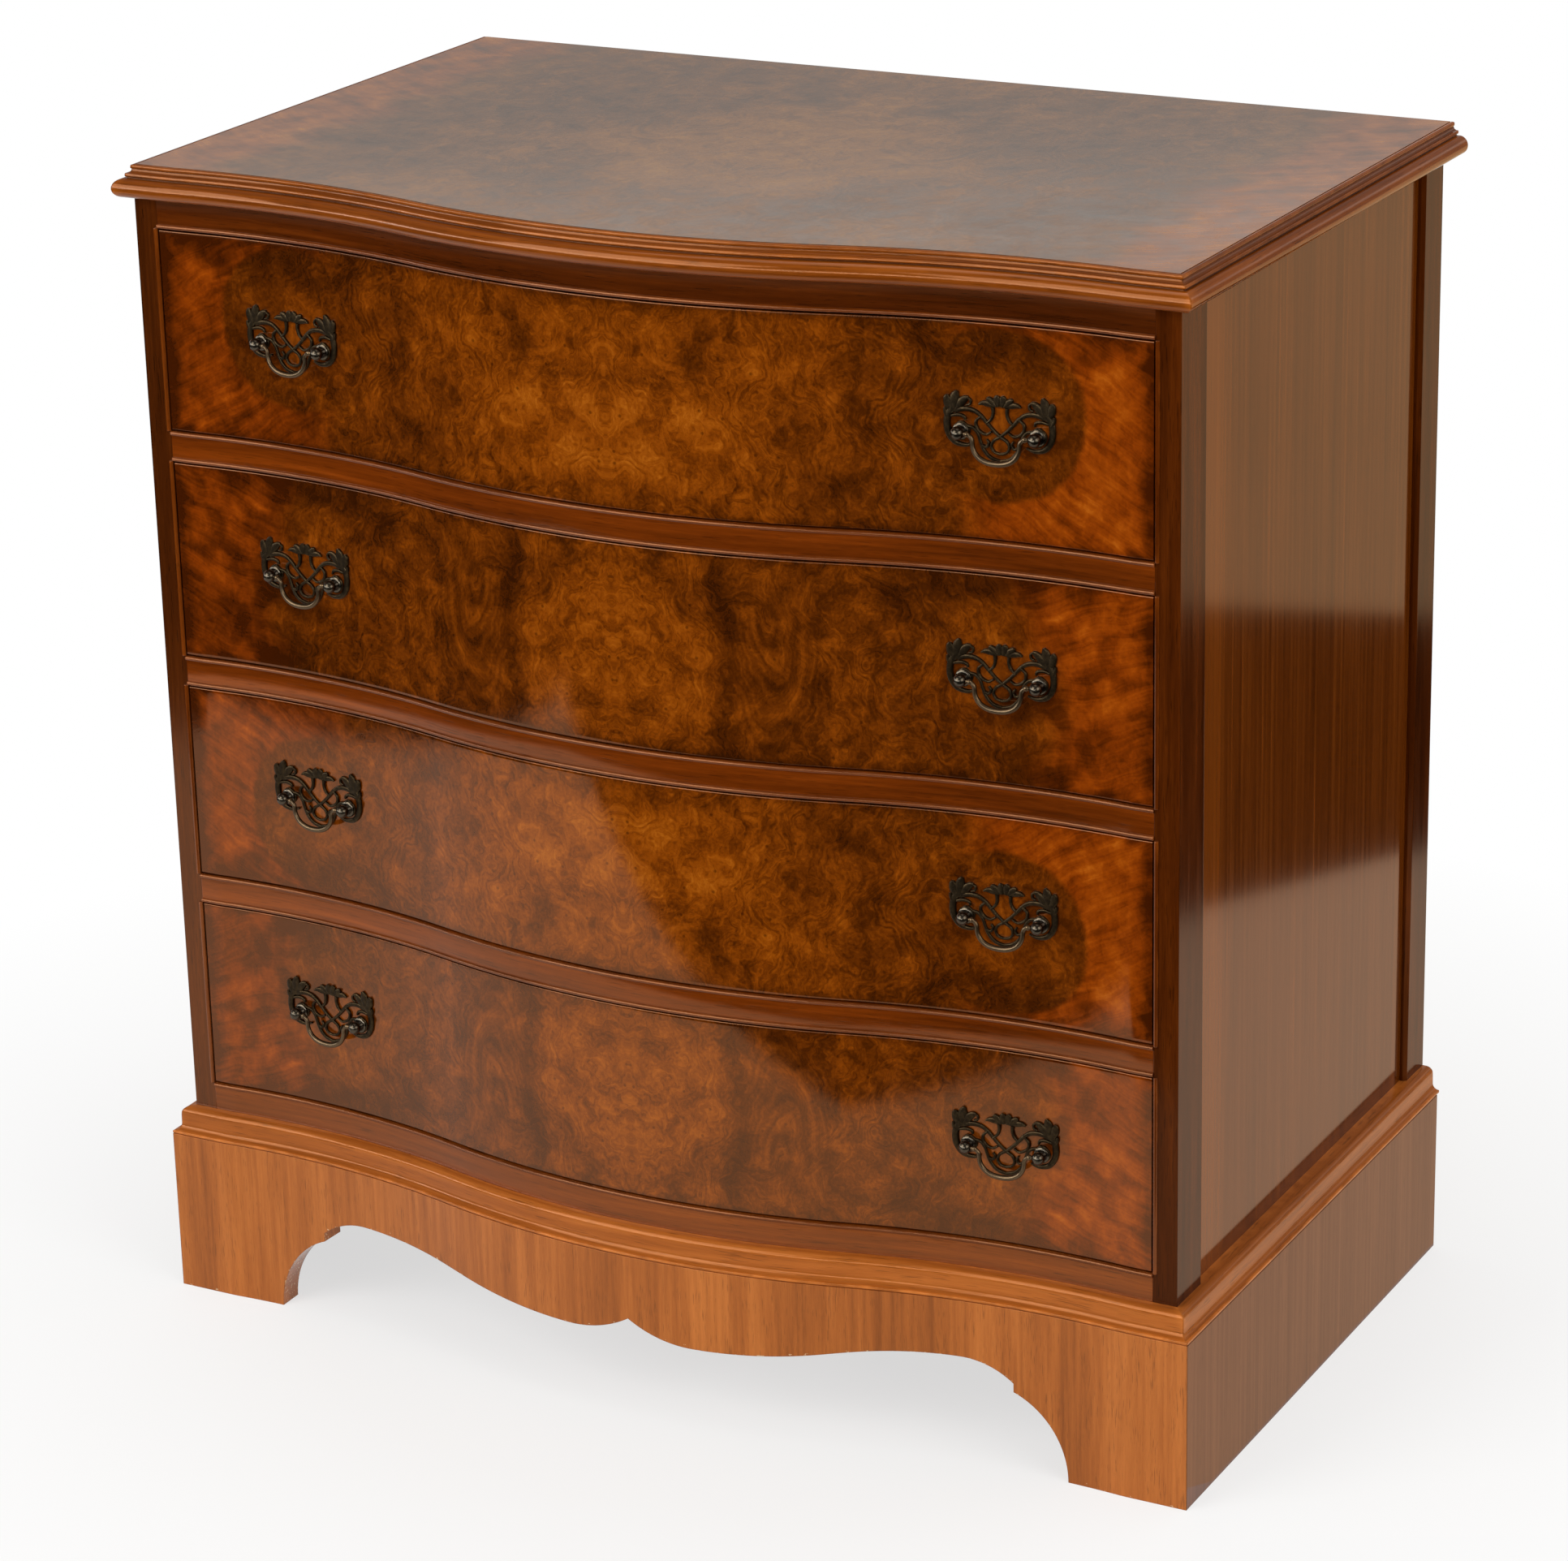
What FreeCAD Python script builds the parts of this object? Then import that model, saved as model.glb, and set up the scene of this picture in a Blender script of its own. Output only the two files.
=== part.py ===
import FreeCAD, Part
import math
import os
from types import SimpleNamespace

import Sketcher

# Serpentine chest of drawers: a carcase of stiles, end panels and bowed rails on a plinth with
# bracket feet, four drawers on wooden runners, and a pair of swan-neck handles on each drawer.
# X runs across the front, Y from front to back and Z up, in millimetres, with the floor at Z 0.
# Depths are measured backwards from the front of the stiles, and offsets outwards from the bowed face.

SIZES = {
    # Carcase
    "carcase_width": 733.0,
    "carcase_depth": 418.0,
    "stile_width": 16.5,
    "front_stile_depth": 39.0,
    "rear_stile_depth": 32.0,
    "stile_chamfer": 2.5,
    "end_panel_thickness": 8.0,
    "end_panel_recess": 4.5,
    "end_panel_tongue": 6.0,
    "back_panel_thickness": 5.0,
    "back_panel_lap": 8.0,
    # Bowed front
    "front_bow": 38.5,
    "hollow_depth": 1.6,
    "ease_radius": 60.0,
    "flat_margin": 1.0,
    # Rails and beads
    "top_rail_height": 19.5,
    "drawer_rail_height": 20.5,
    "bottom_rail_height": 19.5,
    "rail_depth": 55.0,
    "rear_rail_height": 20.0,
    "rear_rail_depth": 20.0,
    "bead_width": 3.0,
    "bead_height": 1.1,
    # Drawer openings, from the top down
    "opening_1_height": 135.0,
    "opening_2_height": 134.0,
    "opening_3_height": 134.0,
    "opening_4_height": 132.5,
    # Runners, guides and stops
    "runner_width": 28.0,
    "runner_height": 18.0,
    "guide_height": 20.0,
    "stop_width": 30.0,
    "stop_depth": 12.0,
    "stop_height": 5.0,
    "stop_gap": 0.3,
    # Top
    "top_thickness": 21.0,
    "top_inset": 2.0,
    "top_back_overhang": 16.0,
    "top_fillet_height": 2.5,
    "top_cove_start": 0.5,
    "top_cove_radius": 5.0,
    "top_quirk": 0.5,
    "top_nose_radius": 6.5,
    # Base moulding
    "base_moulding_height": 19.0,
    "base_moulding_width": 12.5,
    "base_lip_height": 1.0,
    "base_cove_radius": 5.0,
    "base_round_radius": 7.0,
    # Plinth
    "plinth_height": 114.0,
    "plinth_thickness": 18.0,
    "plinth_setback": 3.5,
    "plinth_rail_height": 80.0,
    "plinth_rail_thickness": 15.0,
    "block_size": 30.0,
    "block_height": 90.0,
    "foot_width": 82.0,
    "foot_arch_radius": 60.0,
    "foot_step_height": 56.0,
    "bracket_step": 6.0,
    "bracket_reach": 37.0,
    "apron_crest_height": 75.0,
    "apron_lobe_height": 56.5,
    "apron_lobe_half": 45.0,
    "apron_cusp_height": 69.5,
    # Drawers
    "drawer_side_gap": 1.0,
    "drawer_front_gap": 1.0,
    "drawer_running_gap": 0.3,
    "drawer_top_gap": 5.0,
    "drawer_front_thickness": 20.0,
    "drawer_side_thickness": 10.0,
    "drawer_back_thickness": 10.0,
    "drawer_back_drop": 8.0,
    "drawer_bottom_thickness": 5.0,
    "drawer_bottom_lift": 8.0,
    "drawer_groove_depth": 4.0,
    "drawer_tail_gap": 13.0,
    "joint_gap": 0.2,
    # Handles
    "handle_inset": 100.0,
    "post_spacing": 49.0,
    "post_standoff": 8.5,
    "post_shank_radius": 2.0,
    "post_collar_radius": 5.0,
    "post_collar_height": 1.5,
    "post_neck_radius": 2.8,
    "post_ball_radius": 4.2,
    "post_tail": 2.0,
    "post_hole_gap": 0.1,
    "nut_radius": 5.0,
    "nut_thickness": 3.0,
    "nut_seat_gap": 0.05,
    "bail_radius": 1.7,
    "bail_half_width": 15.0,
    "bail_bend_radius": 4.5,
    "bail_pin_gap": 0.15,
    "bail_end_gap": 0.3,
    # Pierced back plate, measured from the middle of the line between its posts
    "plate_thickness": 1.6,
    "plate_seat_gap": 0.3,
    "plate_half_width": 34.5,
    "plate_margin": 3.0,
    "finial_rise": 23.0,
    "finial_cap_half": 11.0,
    "finial_cap_drop": 5.0,
    "finial_neck_half": 5.0,
    "finial_neck_drop": 9.0,
    "plate_shoulder_rise": 5.0,
    "wing_inner_half": 16.0,
    "wing_shoulder_rise": 14.0,
    "wing_tip_half": 25.0,
    "wing_tip_rise": 24.0,
    "wing_side_rise": 6.0,
    "wing_foot_drop": 8.0,
    "lobe_half": 14.0,
    "lobe_side_drop": 10.0,
    "plate_drop": 18.5,
    "wing_eye_radius": 3.2,
    "wing_eye_half": 26.0,
    "wing_eye_rise": 13.0,
    "lobe_eye_radius": 4.5,
    "lobe_eye_drop": 10.5,
    "neck_eye_radius": 2.6,
    "neck_eye_half": 9.5,
    "neck_eye_drop": 2.5,
}

DRAWERS = (1, 2, 3, 4)
SIDES = {"left": -1, "right": 1}
OVERCUT = 1.0
SHEET = "Sizes"
LAYOUT = "Layout"


class Dim:
    """A length that carries its value and the expression that ties it to the sheet."""

    def __init__(self, value, text):
        self.value = value
        self.text = text

    @staticmethod
    def of(number):
        if isinstance(number, Dim):
            return number
        return Dim(float(number), repr(float(number)))

    def __add__(self, other):
        other = Dim.of(other)
        return Dim(self.value + other.value, f"({self.text} + {other.text})")

    def __sub__(self, other):
        other = Dim.of(other)
        return Dim(self.value - other.value, f"({self.text} - {other.text})")

    def __mul__(self, other):
        other = Dim.of(other)
        return Dim(self.value * other.value, f"({self.text} * {other.text})")

    def __truediv__(self, other):
        other = Dim.of(other)
        return Dim(self.value / other.value, f"({self.text} / {other.text})")

    def __neg__(self):
        return Dim(-self.value, f"(-1 * {self.text})")

    def __radd__(self, other):
        return Dim.of(other) + self

    def __rsub__(self, other):
        return Dim.of(other) - self

    def __rmul__(self, other):
        return Dim.of(other) * self

    def __rtruediv__(self, other):
        return Dim.of(other) / self

    def squared(self):
        return self * self

    def root(self):
        return Dim(math.sqrt(self.value), f"sqrt({self.text})")

    def arcsine(self):
        return Dim(math.degrees(math.asin(self.value)), f"asin({self.text})")


def leg(hypotenuse, other_leg):
    """The remaining side of a right triangle."""
    return (hypotenuse.squared() - other_leg.squared()).root()


doc = FreeCAD.newDocument("serpentine_chest")
nodes = []


# The sheet of driving sizes, and the lengths that are worked out from them

sheet = doc.addObject("Spreadsheet::Sheet", SHEET)
for row, (alias, number) in enumerate(SIZES.items(), start=1):
    sheet.set(f"A{row}", alias)
    sheet.set(f"B{row}", str(number))
    sheet.setAlias(f"B{row}", alias)
size = SimpleNamespace(**{name: Dim(number, f"{SHEET}.{name}") for name, number in SIZES.items()})
layout = doc.addObject("App::VarSet", LAYOUT)
doc.recompute()


def derive(name, dim):
    """Keeps a worked-out length under a name of its own."""
    layout.addProperty("App::PropertyFloat", name)
    layout.setExpression(name, dim.text)
    return Dim(dim.value, f"{LAYOUT}.{name}")


half_width = derive("half_width", size.carcase_width / 2)
opening_half = derive("opening_half", half_width - size.stile_width)
drawer_half = derive("drawer_half", opening_half - size.drawer_side_gap)
drawer_inner_half = derive("drawer_inner_half", drawer_half - size.drawer_side_thickness)

# The bow runs into a flat at each end; its hollow lies where both arcs beside it stay tangent
flat_x = derive("flat_x", drawer_inner_half - size.flat_margin)
ease_ratio = derive("ease_ratio", 1 - size.hollow_depth / (2 * size.front_bow))
ease_term = derive(
    "ease_term", size.hollow_depth * (size.front_bow / 2 + 2 * size.ease_radius - size.hollow_depth)
)
hollow_x = derive(
    "hollow_x",
    (flat_x - (flat_x.squared() - ease_ratio * (flat_x.squared() - ease_term)).root()) / ease_ratio,
)
bow_radius = derive(
    "bow_radius", (hollow_x.squared() + size.front_bow.squared()) / (4 * size.front_bow)
)
ease_sine = derive("ease_sine", (flat_x - hollow_x) / (bow_radius + size.ease_radius))
ease_cosine = derive("ease_cosine", 1 - size.hollow_depth / (bow_radius + size.ease_radius))

plinth_half = derive("plinth_half", half_width + size.base_moulding_width)
plinth_inset = derive("plinth_inset", size.plinth_thickness - size.base_moulding_width)
plinth_inner_half = derive("plinth_inner_half", half_width - plinth_inset)
top_half = derive("top_half", half_width - size.top_inset)
top_back = derive("top_back", size.carcase_depth + size.top_back_overhang)
top_moulding_width = derive(
    "top_moulding_width",
    size.top_cove_start + size.top_cove_radius + size.top_quirk + size.top_nose_radius,
)
front_reach = derive("front_reach", size.front_bow - size.hollow_depth + size.base_moulding_width)
front_shift = derive("front_shift", (front_reach - top_back) / 2)

base_top = derive("base_top", size.plinth_height + size.base_moulding_height)
opening_heights = [getattr(size, f"opening_{number}_height") for number in DRAWERS]
opening_bottoms = {}
opening_tops = {}
level = base_top + size.bottom_rail_height
for number in reversed(DRAWERS):
    opening_bottoms[number] = derive(f"opening_{number}_bottom", level)
    opening_tops[number] = derive(
        f"opening_{number}_top", opening_bottoms[number] + opening_heights[number - 1]
    )
    level = opening_tops[number] + size.drawer_rail_height
carcase_top = derive("carcase_top", opening_tops[1] + size.top_rail_height)
top_surface = derive("top_surface", carcase_top + size.top_thickness)

panel_outer = derive("panel_outer", half_width - size.end_panel_recess)
panel_inner = derive("panel_inner", panel_outer - size.end_panel_thickness)
rear_stile_front = derive("rear_stile_front", size.carcase_depth - size.rear_stile_depth)
back_panel_front = derive("back_panel_front", size.carcase_depth - size.back_panel_thickness)

drawer_tail = derive("drawer_tail", back_panel_front - size.drawer_tail_gap)

handle_x = derive("handle_x", opening_half - size.handle_inset)
post_half = derive("post_half", size.post_spacing / 2)
plate_back_radius = derive("plate_back_radius", bow_radius - size.plate_seat_gap)
plate_front_radius = derive("plate_front_radius", plate_back_radius - size.plate_thickness)
post_seat = derive(
    "post_seat", bow_radius - leg(plate_front_radius, post_half + size.post_collar_radius)
)
front_inner_radius = derive("front_inner_radius", bow_radius + size.drawer_front_thickness)
nut_seat = derive(
    "nut_seat",
    leg(front_inner_radius, post_half - size.nut_radius) - bow_radius + size.nut_seat_gap,
)


# The bowed front: a swelling arc in the middle, a hollow arc of the same radius on each flank, and
# a small easing arc that brings each hollow back to the flat front of the stile

def bow_depth(x):
    """Depth of the hollow at x."""
    return size.hollow_depth - bow_radius + leg(bow_radius, x - hollow_x)


def bow_points(offset):
    """Where swelling and hollow meet, and hollow and easing, for a face the offset outside the bow."""
    swell = size.front_bow / 2
    turning_x = hollow_x / 2 * (1 + offset / bow_radius)
    turning_depth = size.hollow_depth - swell - offset * (bow_radius - swell) / bow_radius
    ease = size.ease_radius + offset
    ease_x = flat_x - ease * ease_sine
    ease_depth = size.ease_radius - ease * ease_cosine
    return turning_x, turning_depth, ease_x, ease_depth


def bow_left_to_right(offset, half):
    """Corners of the bowed edge from left to right, with its flats run out to the given half width."""
    offset = Dim.of(offset)
    turning_x, turning_depth, ease_x, ease_depth = bow_points(offset)
    ease, hollow, swelling = size.ease_radius + offset, bow_radius - offset, bow_radius + offset
    return [
        corner(-half, -offset),
        arc(-flat_x, -offset, ease, 1),
        arc(-ease_x, ease_depth, hollow, -1),
        arc(-turning_x, turning_depth, swelling, 1),
        arc(turning_x, turning_depth, hollow, -1),
        arc(ease_x, ease_depth, ease, 1),
        corner(flat_x, -offset),
        corner(half, -offset),
    ]


def bow_right_to_left(offset, half):
    """The same edge taken from right to left."""
    forward = bow_left_to_right(offset, half)
    backward = []
    for here, before in zip(reversed(forward), reversed([forward[0]] + forward[:-1])):
        backward.append((here[0], here[1], before[2], -before[3]))
    return backward


BOW_EDGES = 7


# Sketches: a loop is a list of corners, each left by a straight line or by an arc of under a half turn

def corner(x, y):
    return Dim.of(x), Dim.of(y), None, 0


def arc(x, y, radius, turn):
    """A corner left along an arc that turns left (1) or right (-1)."""
    return Dim.of(x), Dim.of(y), Dim.of(radius), turn


def vector(x, y):
    return FreeCAD.Vector(x.value, y.value, 0)


def segment(start, end):
    """The line or arc from one corner to the next, and whether it runs backwards."""
    p = vector(start[0], start[1])
    q = vector(end[0], end[1])
    if start[2] is None:
        return Part.LineSegment(p, q), False
    radius, turn = start[2].value, start[3]
    chord = q - p
    rise = math.sqrt(radius ** 2 - (chord.Length / 2) ** 2)
    normal = FreeCAD.Vector(-chord.y, chord.x, 0).normalize()
    centre = (p + q) * 0.5 + normal * (rise * turn)
    first, last = (p, q) if turn > 0 else (q, p)
    begin = math.atan2(first.y - centre.y, first.x - centre.x)
    finish = math.atan2(last.y - centre.y, last.x - centre.x)
    circle = Part.Circle(centre, FreeCAD.Vector(0, 0, 1), radius)
    return Part.ArcOfCircle(circle, begin, finish), turn < 0


def bind(sketch, constraint, dim):
    """Adds a constraint whose value follows the sheet."""
    index = sketch.addConstraint(constraint)
    sketch.setExpression(f"Constraints[{index}]", dim.text)


def pin(sketch, geometry, point, x, y):
    bind(sketch, Sketcher.Constraint("DistanceX", -1, 1, geometry, point, x.value), x)
    bind(sketch, Sketcher.Constraint("DistanceY", -1, 1, geometry, point, y.value), y)


def draw(sketch, corners, closed=True):
    """Draws a chain of lines and arcs with every corner pinned and every arc given its radius."""
    ends = corners[1:] + corners[:1] if closed else corners[1:]
    pieces = []
    for start, end in zip(corners, ends):
        shape, backwards = segment(start, end)
        index = sketch.addGeometry(shape, False)
        pieces.append((index, 2 if backwards else 1, 1 if backwards else 2))
        if start[2] is not None:
            bind(sketch, Sketcher.Constraint("Radius", index, start[2].value), start[2])
    followers = pieces[1:] + pieces[:1] if closed else pieces[1:]
    for (before, _, leaving), (after, arriving, _) in zip(pieces, followers):
        sketch.addConstraint(Sketcher.Constraint("Coincident", before, leaving, after, arriving))
    for (index, first, _), start in zip(pieces, corners):
        pin(sketch, index, first, start[0], start[1])
    if not closed:
        pin(sketch, pieces[-1][0], pieces[-1][2], corners[-1][0], corners[-1][1])
    return sketch


def draw_circle(sketch, x, y, radius):
    x, y = Dim.of(x), Dim.of(y)
    circle = Part.Circle(vector(x, y), FreeCAD.Vector(0, 0, 1), radius.value)
    index = sketch.addGeometry(circle, False)
    bind(sketch, Sketcher.Constraint("Radius", index, radius.value), radius)
    pin(sketch, index, 3, x, y)
    return sketch


# Bodies, features and boards

def place(thing, x, depth, z, turn=None, about=1):
    """Places a piece by its distance from the centre line, depth and height, turned about Z or -Z."""
    y = depth + front_shift
    angle = turn.value if turn else 0.0
    rotation = FreeCAD.Rotation(FreeCAD.Vector(0, 0, about), angle)
    base = FreeCAD.Vector(x.value, y.value, z.value)
    thing.Placement = FreeCAD.Placement(base, rotation)
    for axis, dim in zip("xyz", (x, y, z)):
        thing.setExpression(f"Placement.Base.{axis}", dim.text)
    if turn:
        thing.setExpression("Placement.Rotation.Angle", turn.text)


def new_body(name, x=0, depth=0, z=0, turn=None, about=1):
    body = doc.addObject("PartDesign::Body", f"{name}_body")
    place(body, Dim.of(x), Dim.of(depth), Dim.of(z), turn, about)
    return body


def new_sketch(body, plane, offset=0):
    """A sketch on one of the body's own planes, moved along the plane's normal."""
    offset = Dim.of(offset)
    support = next(item for item in body.Origin.OriginFeatures if item.Role == f"{plane}_Plane")
    sketch = body.newObject("Sketcher::SketchObject", f"{body.Name}_{plane.lower()}")
    sketch.AttachmentSupport = [(support, "")]
    sketch.MapMode = "FlatFace"
    sketch.AttachmentOffset = FreeCAD.Placement(
        FreeCAD.Vector(0, 0, offset.value), FreeCAD.Rotation()
    )
    sketch.setExpression("AttachmentOffset.Base.z", offset.text)
    return sketch


def pad(body, sketch, length, reverse=False):
    feature = body.newObject("PartDesign::Pad", f"{body.Name}_pad")
    feature.Profile = sketch
    feature.setExpression("Length", length.text)
    feature.Reversed = reverse
    return feature


def pocket(body, sketch, length, reverse=False):
    feature = body.newObject("PartDesign::Pocket", f"{body.Name}_pocket")
    feature.Profile = sketch
    feature.setExpression("Length", length.text)
    feature.Reversed = reverse
    doc.recompute()
    before = feature.BaseFeature.Shape.Volume
    if feature.Shape.Volume >= before:
        raise RuntimeError(f"{feature.Name} cuts nothing")
    return feature


def pipe(body, profile, spine, edges):
    feature = body.newObject("PartDesign::AdditivePipe", f"{body.Name}_pipe")
    feature.Profile = profile
    feature.Spine = (spine, [f"Edge{index + 1}" for index in range(edges)])
    feature.Transition = "Right corner"
    return feature


def board(name, x_span, depth_span, z_span):
    """A plain board between two values of x, depth and height."""
    box = doc.addObject("Part::Box", name)
    (x0, x1), (d0, d1), (z0, z1) = [
        (Dim.of(low), Dim.of(high)) for low, high in (x_span, depth_span, z_span)
    ]
    place(box, x0, d0, z0)
    for side, low, high in (("Length", x0, x1), ("Width", d0, d1), ("Height", z0, z1)):
        box.setExpression(side, (high - low).text)
    return box


def flanked(sign, inner, outer):
    """The span of x between two distances from the centre line, on the given side."""
    return (sign * inner, sign * outer) if sign > 0 else (sign * outer, sign * inner)


def cut(name, base, tool):
    result = doc.addObject("Part::Cut", name)
    result.Base = base
    result.Tool = tool
    return result


def group(name, pieces):
    result = doc.addObject("Part::Compound", name)
    result.Links = pieces
    return result


def node(label, piece):
    """Names a finished piece and lists it for writing."""
    piece.Label = label
    nodes.append(piece)


# Carcase: stiles, panels and rails

def front_stile(side, sign):
    """Square stile, grooved behind for the end panel and chamfered along its outer back edge."""
    body = new_body(f"{side}_front_stile")
    depth = size.front_stile_depth
    groove = depth - size.end_panel_tongue
    corners = [
        corner(sign * opening_half, 0),
        corner(sign * half_width, 0),
        corner(sign * half_width, depth - size.stile_chamfer),
        corner(sign * (half_width - size.stile_chamfer), depth),
        corner(sign * panel_outer, depth),
        corner(sign * panel_outer, groove),
        corner(sign * panel_inner, groove),
        corner(sign * panel_inner, depth),
        corner(sign * opening_half, depth),
    ]
    pad(body, draw(new_sketch(body, "XY", size.plinth_height), corners), carcase_top - size.plinth_height)
    node(f"{side}_front_stile", body)


def rear_stile(side, sign):
    """Rear stile, grooved in front for the end panel and rebated behind for the back panel."""
    body = new_body(f"{side}_rear_stile")
    front, back = rear_stile_front, size.carcase_depth
    groove = front + size.end_panel_tongue
    rebate = opening_half + size.back_panel_lap
    corners = [
        corner(sign * opening_half, front),
        corner(sign * panel_inner, front),
        corner(sign * panel_inner, groove),
        corner(sign * panel_outer, groove),
        corner(sign * panel_outer, front),
        corner(sign * (half_width - size.stile_chamfer), front),
        corner(sign * half_width, front + size.stile_chamfer),
        corner(sign * half_width, back),
        corner(sign * rebate, back),
        corner(sign * rebate, back_panel_front),
        corner(sign * opening_half, back_panel_front),
    ]
    pad(body, draw(new_sketch(body, "XY", size.plinth_height), corners), carcase_top - size.plinth_height)
    node(f"{side}_rear_stile", body)


def bowed_rail(label, bottom, top):
    """Rail with a bowed front edge and a straight back edge, between the front stiles."""
    body = new_body(label)
    corners = bow_left_to_right(0, opening_half)
    corners += [corner(opening_half, size.rail_depth), corner(-opening_half, size.rail_depth)]
    pad(body, draw(new_sketch(body, "XY", bottom), corners), top - bottom)
    node(label, body)


def bead_section(sketch, along, foot):
    """Low round bead on a flat foot: a chord closed by one arc, across the given direction."""
    half = size.bead_width / 2
    radius = (half.squared() + size.bead_height.squared()) / (2 * size.bead_height)
    if along == "front":
        corners = [arc(foot, -half, radius, -1), corner(foot, half)]
    else:
        corners = [arc(-half, foot, radius, 1), corner(half, foot)]
    return draw(sketch, corners)


def rail_bead(name, height):
    """Bead that runs along the bowed front at the given height of its middle."""
    body = new_body(name, z=height)
    spine = new_sketch(body, "XY")
    draw(spine, bow_left_to_right(0, opening_half), closed=False)
    section = new_sketch(body, "YZ", -opening_half)
    bead_section(section, "front", Dim.of(0))
    pipe(body, section, spine, BOW_EDGES)
    return body


def stile_bead(name, sign, bottom, top):
    """Upright bead on the inner edge of a stile, beside one drawer."""
    body = new_body(name, x=sign * (opening_half + size.bead_width / 2))
    section = new_sketch(body, "XY", bottom)
    bead_section(section, "upright", Dim.of(0))
    pad(body, section, top - bottom)
    return body


for side, sign in SIDES.items():
    front_stile(side, sign)
    rear_stile(side, sign)
    panel = board(
        f"{side}_end_panel_board",
        flanked(sign, panel_inner, panel_outer),
        (size.front_stile_depth - size.end_panel_tongue, rear_stile_front + size.end_panel_tongue),
        (size.plinth_height, carcase_top),
    )
    node(f"{side}_end_panel", panel)

bowed_rail("top_rail", opening_tops[1], carcase_top)
for number in DRAWERS[:-1]:
    bowed_rail(f"drawer_rail_{number}", opening_tops[number + 1], opening_bottoms[number])
bowed_rail("bottom_rail", size.plinth_height, opening_bottoms[4])

half_bead = size.bead_width / 2
beads = []
for number in DRAWERS:
    low, high = opening_bottoms[number], opening_tops[number]
    beads.append(rail_bead(f"bead_under_{number}", low - half_bead))
    beads.append(rail_bead(f"bead_over_{number}", high + half_bead))
    for side, sign in SIDES.items():
        beads.append(stile_bead(f"{side}_bead_{number}", sign, low, high))
node("drawer_beads", group("bead_group", beads))

rear_rail_span = (back_panel_front - size.rear_rail_depth, back_panel_front)
for name, low, high in (
    ("rear_top_rail", carcase_top - size.rear_rail_height, carcase_top),
    ("rear_bottom_rail", size.plinth_height, size.plinth_height + size.rear_rail_height),
):
    node(name, board(f"{name}_board", (-opening_half, opening_half), rear_rail_span, (low, high)))

back_half = opening_half + size.back_panel_lap
back = board(
    "back_panel_board",
    (-back_half, back_half),
    (back_panel_front, size.carcase_depth),
    (size.plinth_height, carcase_top),
)
node("back_panel", back)


# Inside the carcase: runners, guides, kickers and stops

runner_span = (size.rail_depth, rear_stile_front)
stop_front = size.hollow_depth + size.drawer_front_thickness + size.stop_gap
runners = []
guides = []
stops = []
for side, sign in SIDES.items():
    runner_x = flanked(sign, panel_inner - size.runner_width, panel_inner)
    guide_x = flanked(sign, opening_half, panel_inner)
    stop_x = (sign * hollow_x - size.stop_width / 2, sign * hollow_x + size.stop_width / 2)
    for number in DRAWERS:
        floor = opening_bottoms[number]
        below = (floor - size.runner_height, floor)
        above = (floor, floor + size.guide_height)
        runners.append(board(f"{side}_runner_{number}", runner_x, runner_span, below))
        guides.append(board(f"{side}_guide_{number}", guide_x, runner_span, above))
        stop_span = (stop_front, stop_front + size.stop_depth)
        stop_z = (floor, floor + size.stop_height)
        stops.append(board(f"{side}_stop_{number}", stop_x, stop_span, stop_z))
    guides.append(board(f"{side}_kicker", runner_x, runner_span, (opening_tops[1], carcase_top)))
node("drawer_runners", group("runner_group", runners))
node("drawer_guides", group("guide_group", guides))
node("drawer_stops", group("stop_group", stops))


# Top and mouldings

def mitre(body, sign, x, depth, reach, top, height, keep):
    """Cuts a moulding's corner at 45 degrees, keeping its front or its side part."""
    inner = corner(sign * (x - OVERCUT), depth + OVERCUT)
    outer = corner(sign * (x + reach + OVERCUT), depth - reach - OVERCUT)
    if keep == "front":
        waste = corner(sign * (x + reach + OVERCUT), depth + OVERCUT)
    else:
        waste = corner(sign * (x - OVERCUT), depth - reach - OVERCUT)
    pocket(body, draw(new_sketch(body, "XY", top), [inner, outer, waste]), height)


def mouldings(name, profile, x, depth, offset, reach, bottom, height, back):
    """Front and side mouldings of one profile, mitred at the two front corners."""
    half = x + reach
    front = new_body(f"{name}_front_moulding")
    spine = new_sketch(front, "XY", bottom)
    draw(spine, bow_left_to_right(offset, half), closed=False)
    section = new_sketch(front, "YZ", -half)
    draw(section, [across(item, -1, depth, bottom) for item in profile])
    pipe(front, section, spine, BOW_EDGES)
    for sign in SIDES.values():
        mitre(front, sign, x, depth, reach, bottom + height, height, "front")
    node(f"{name}_front_moulding", front)
    sides = []
    for side, sign in SIDES.items():
        body = new_body(f"{name}_{side}_moulding")
        section = new_sketch(body, "XZ", reach - depth)
        draw(section, [across(item, sign, sign * x, bottom) for item in profile])
        pad(body, section, back - depth + reach, reverse=True)
        mitre(body, sign, x, depth, reach, bottom + height, height, "side")
        sides.append(body)
    node(f"{name}_side_mouldings", group(f"{name}_side_group", sides))


def across(item, sign, start, bottom):
    """Carries a profile corner outwards from a start line, mirrored where sign is -1."""
    out, up, radius, turn = item
    return sign * out + start, up + bottom, radius, turn * sign


def top_profile():
    """Half-round nose under a cove and a small fillet, drawn outwards from the board's edge."""
    nose = size.top_nose_radius
    nose_start = top_moulding_width - nose
    cove_out = size.top_cove_start + size.top_cove_radius
    cove_foot = size.top_thickness - size.top_fillet_height - size.top_cove_radius
    return [
        corner(0, 0),
        arc(nose_start, 0, nose, 1),
        arc(top_moulding_width, nose, nose, 1),
        corner(nose_start, 2 * nose),
        corner(nose_start, cove_foot),
        arc(cove_out, cove_foot, size.top_cove_radius, -1),
        corner(size.top_cove_start, cove_foot + size.top_cove_radius),
        corner(size.top_cove_start, size.top_thickness),
        corner(0, size.top_thickness),
    ]


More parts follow.
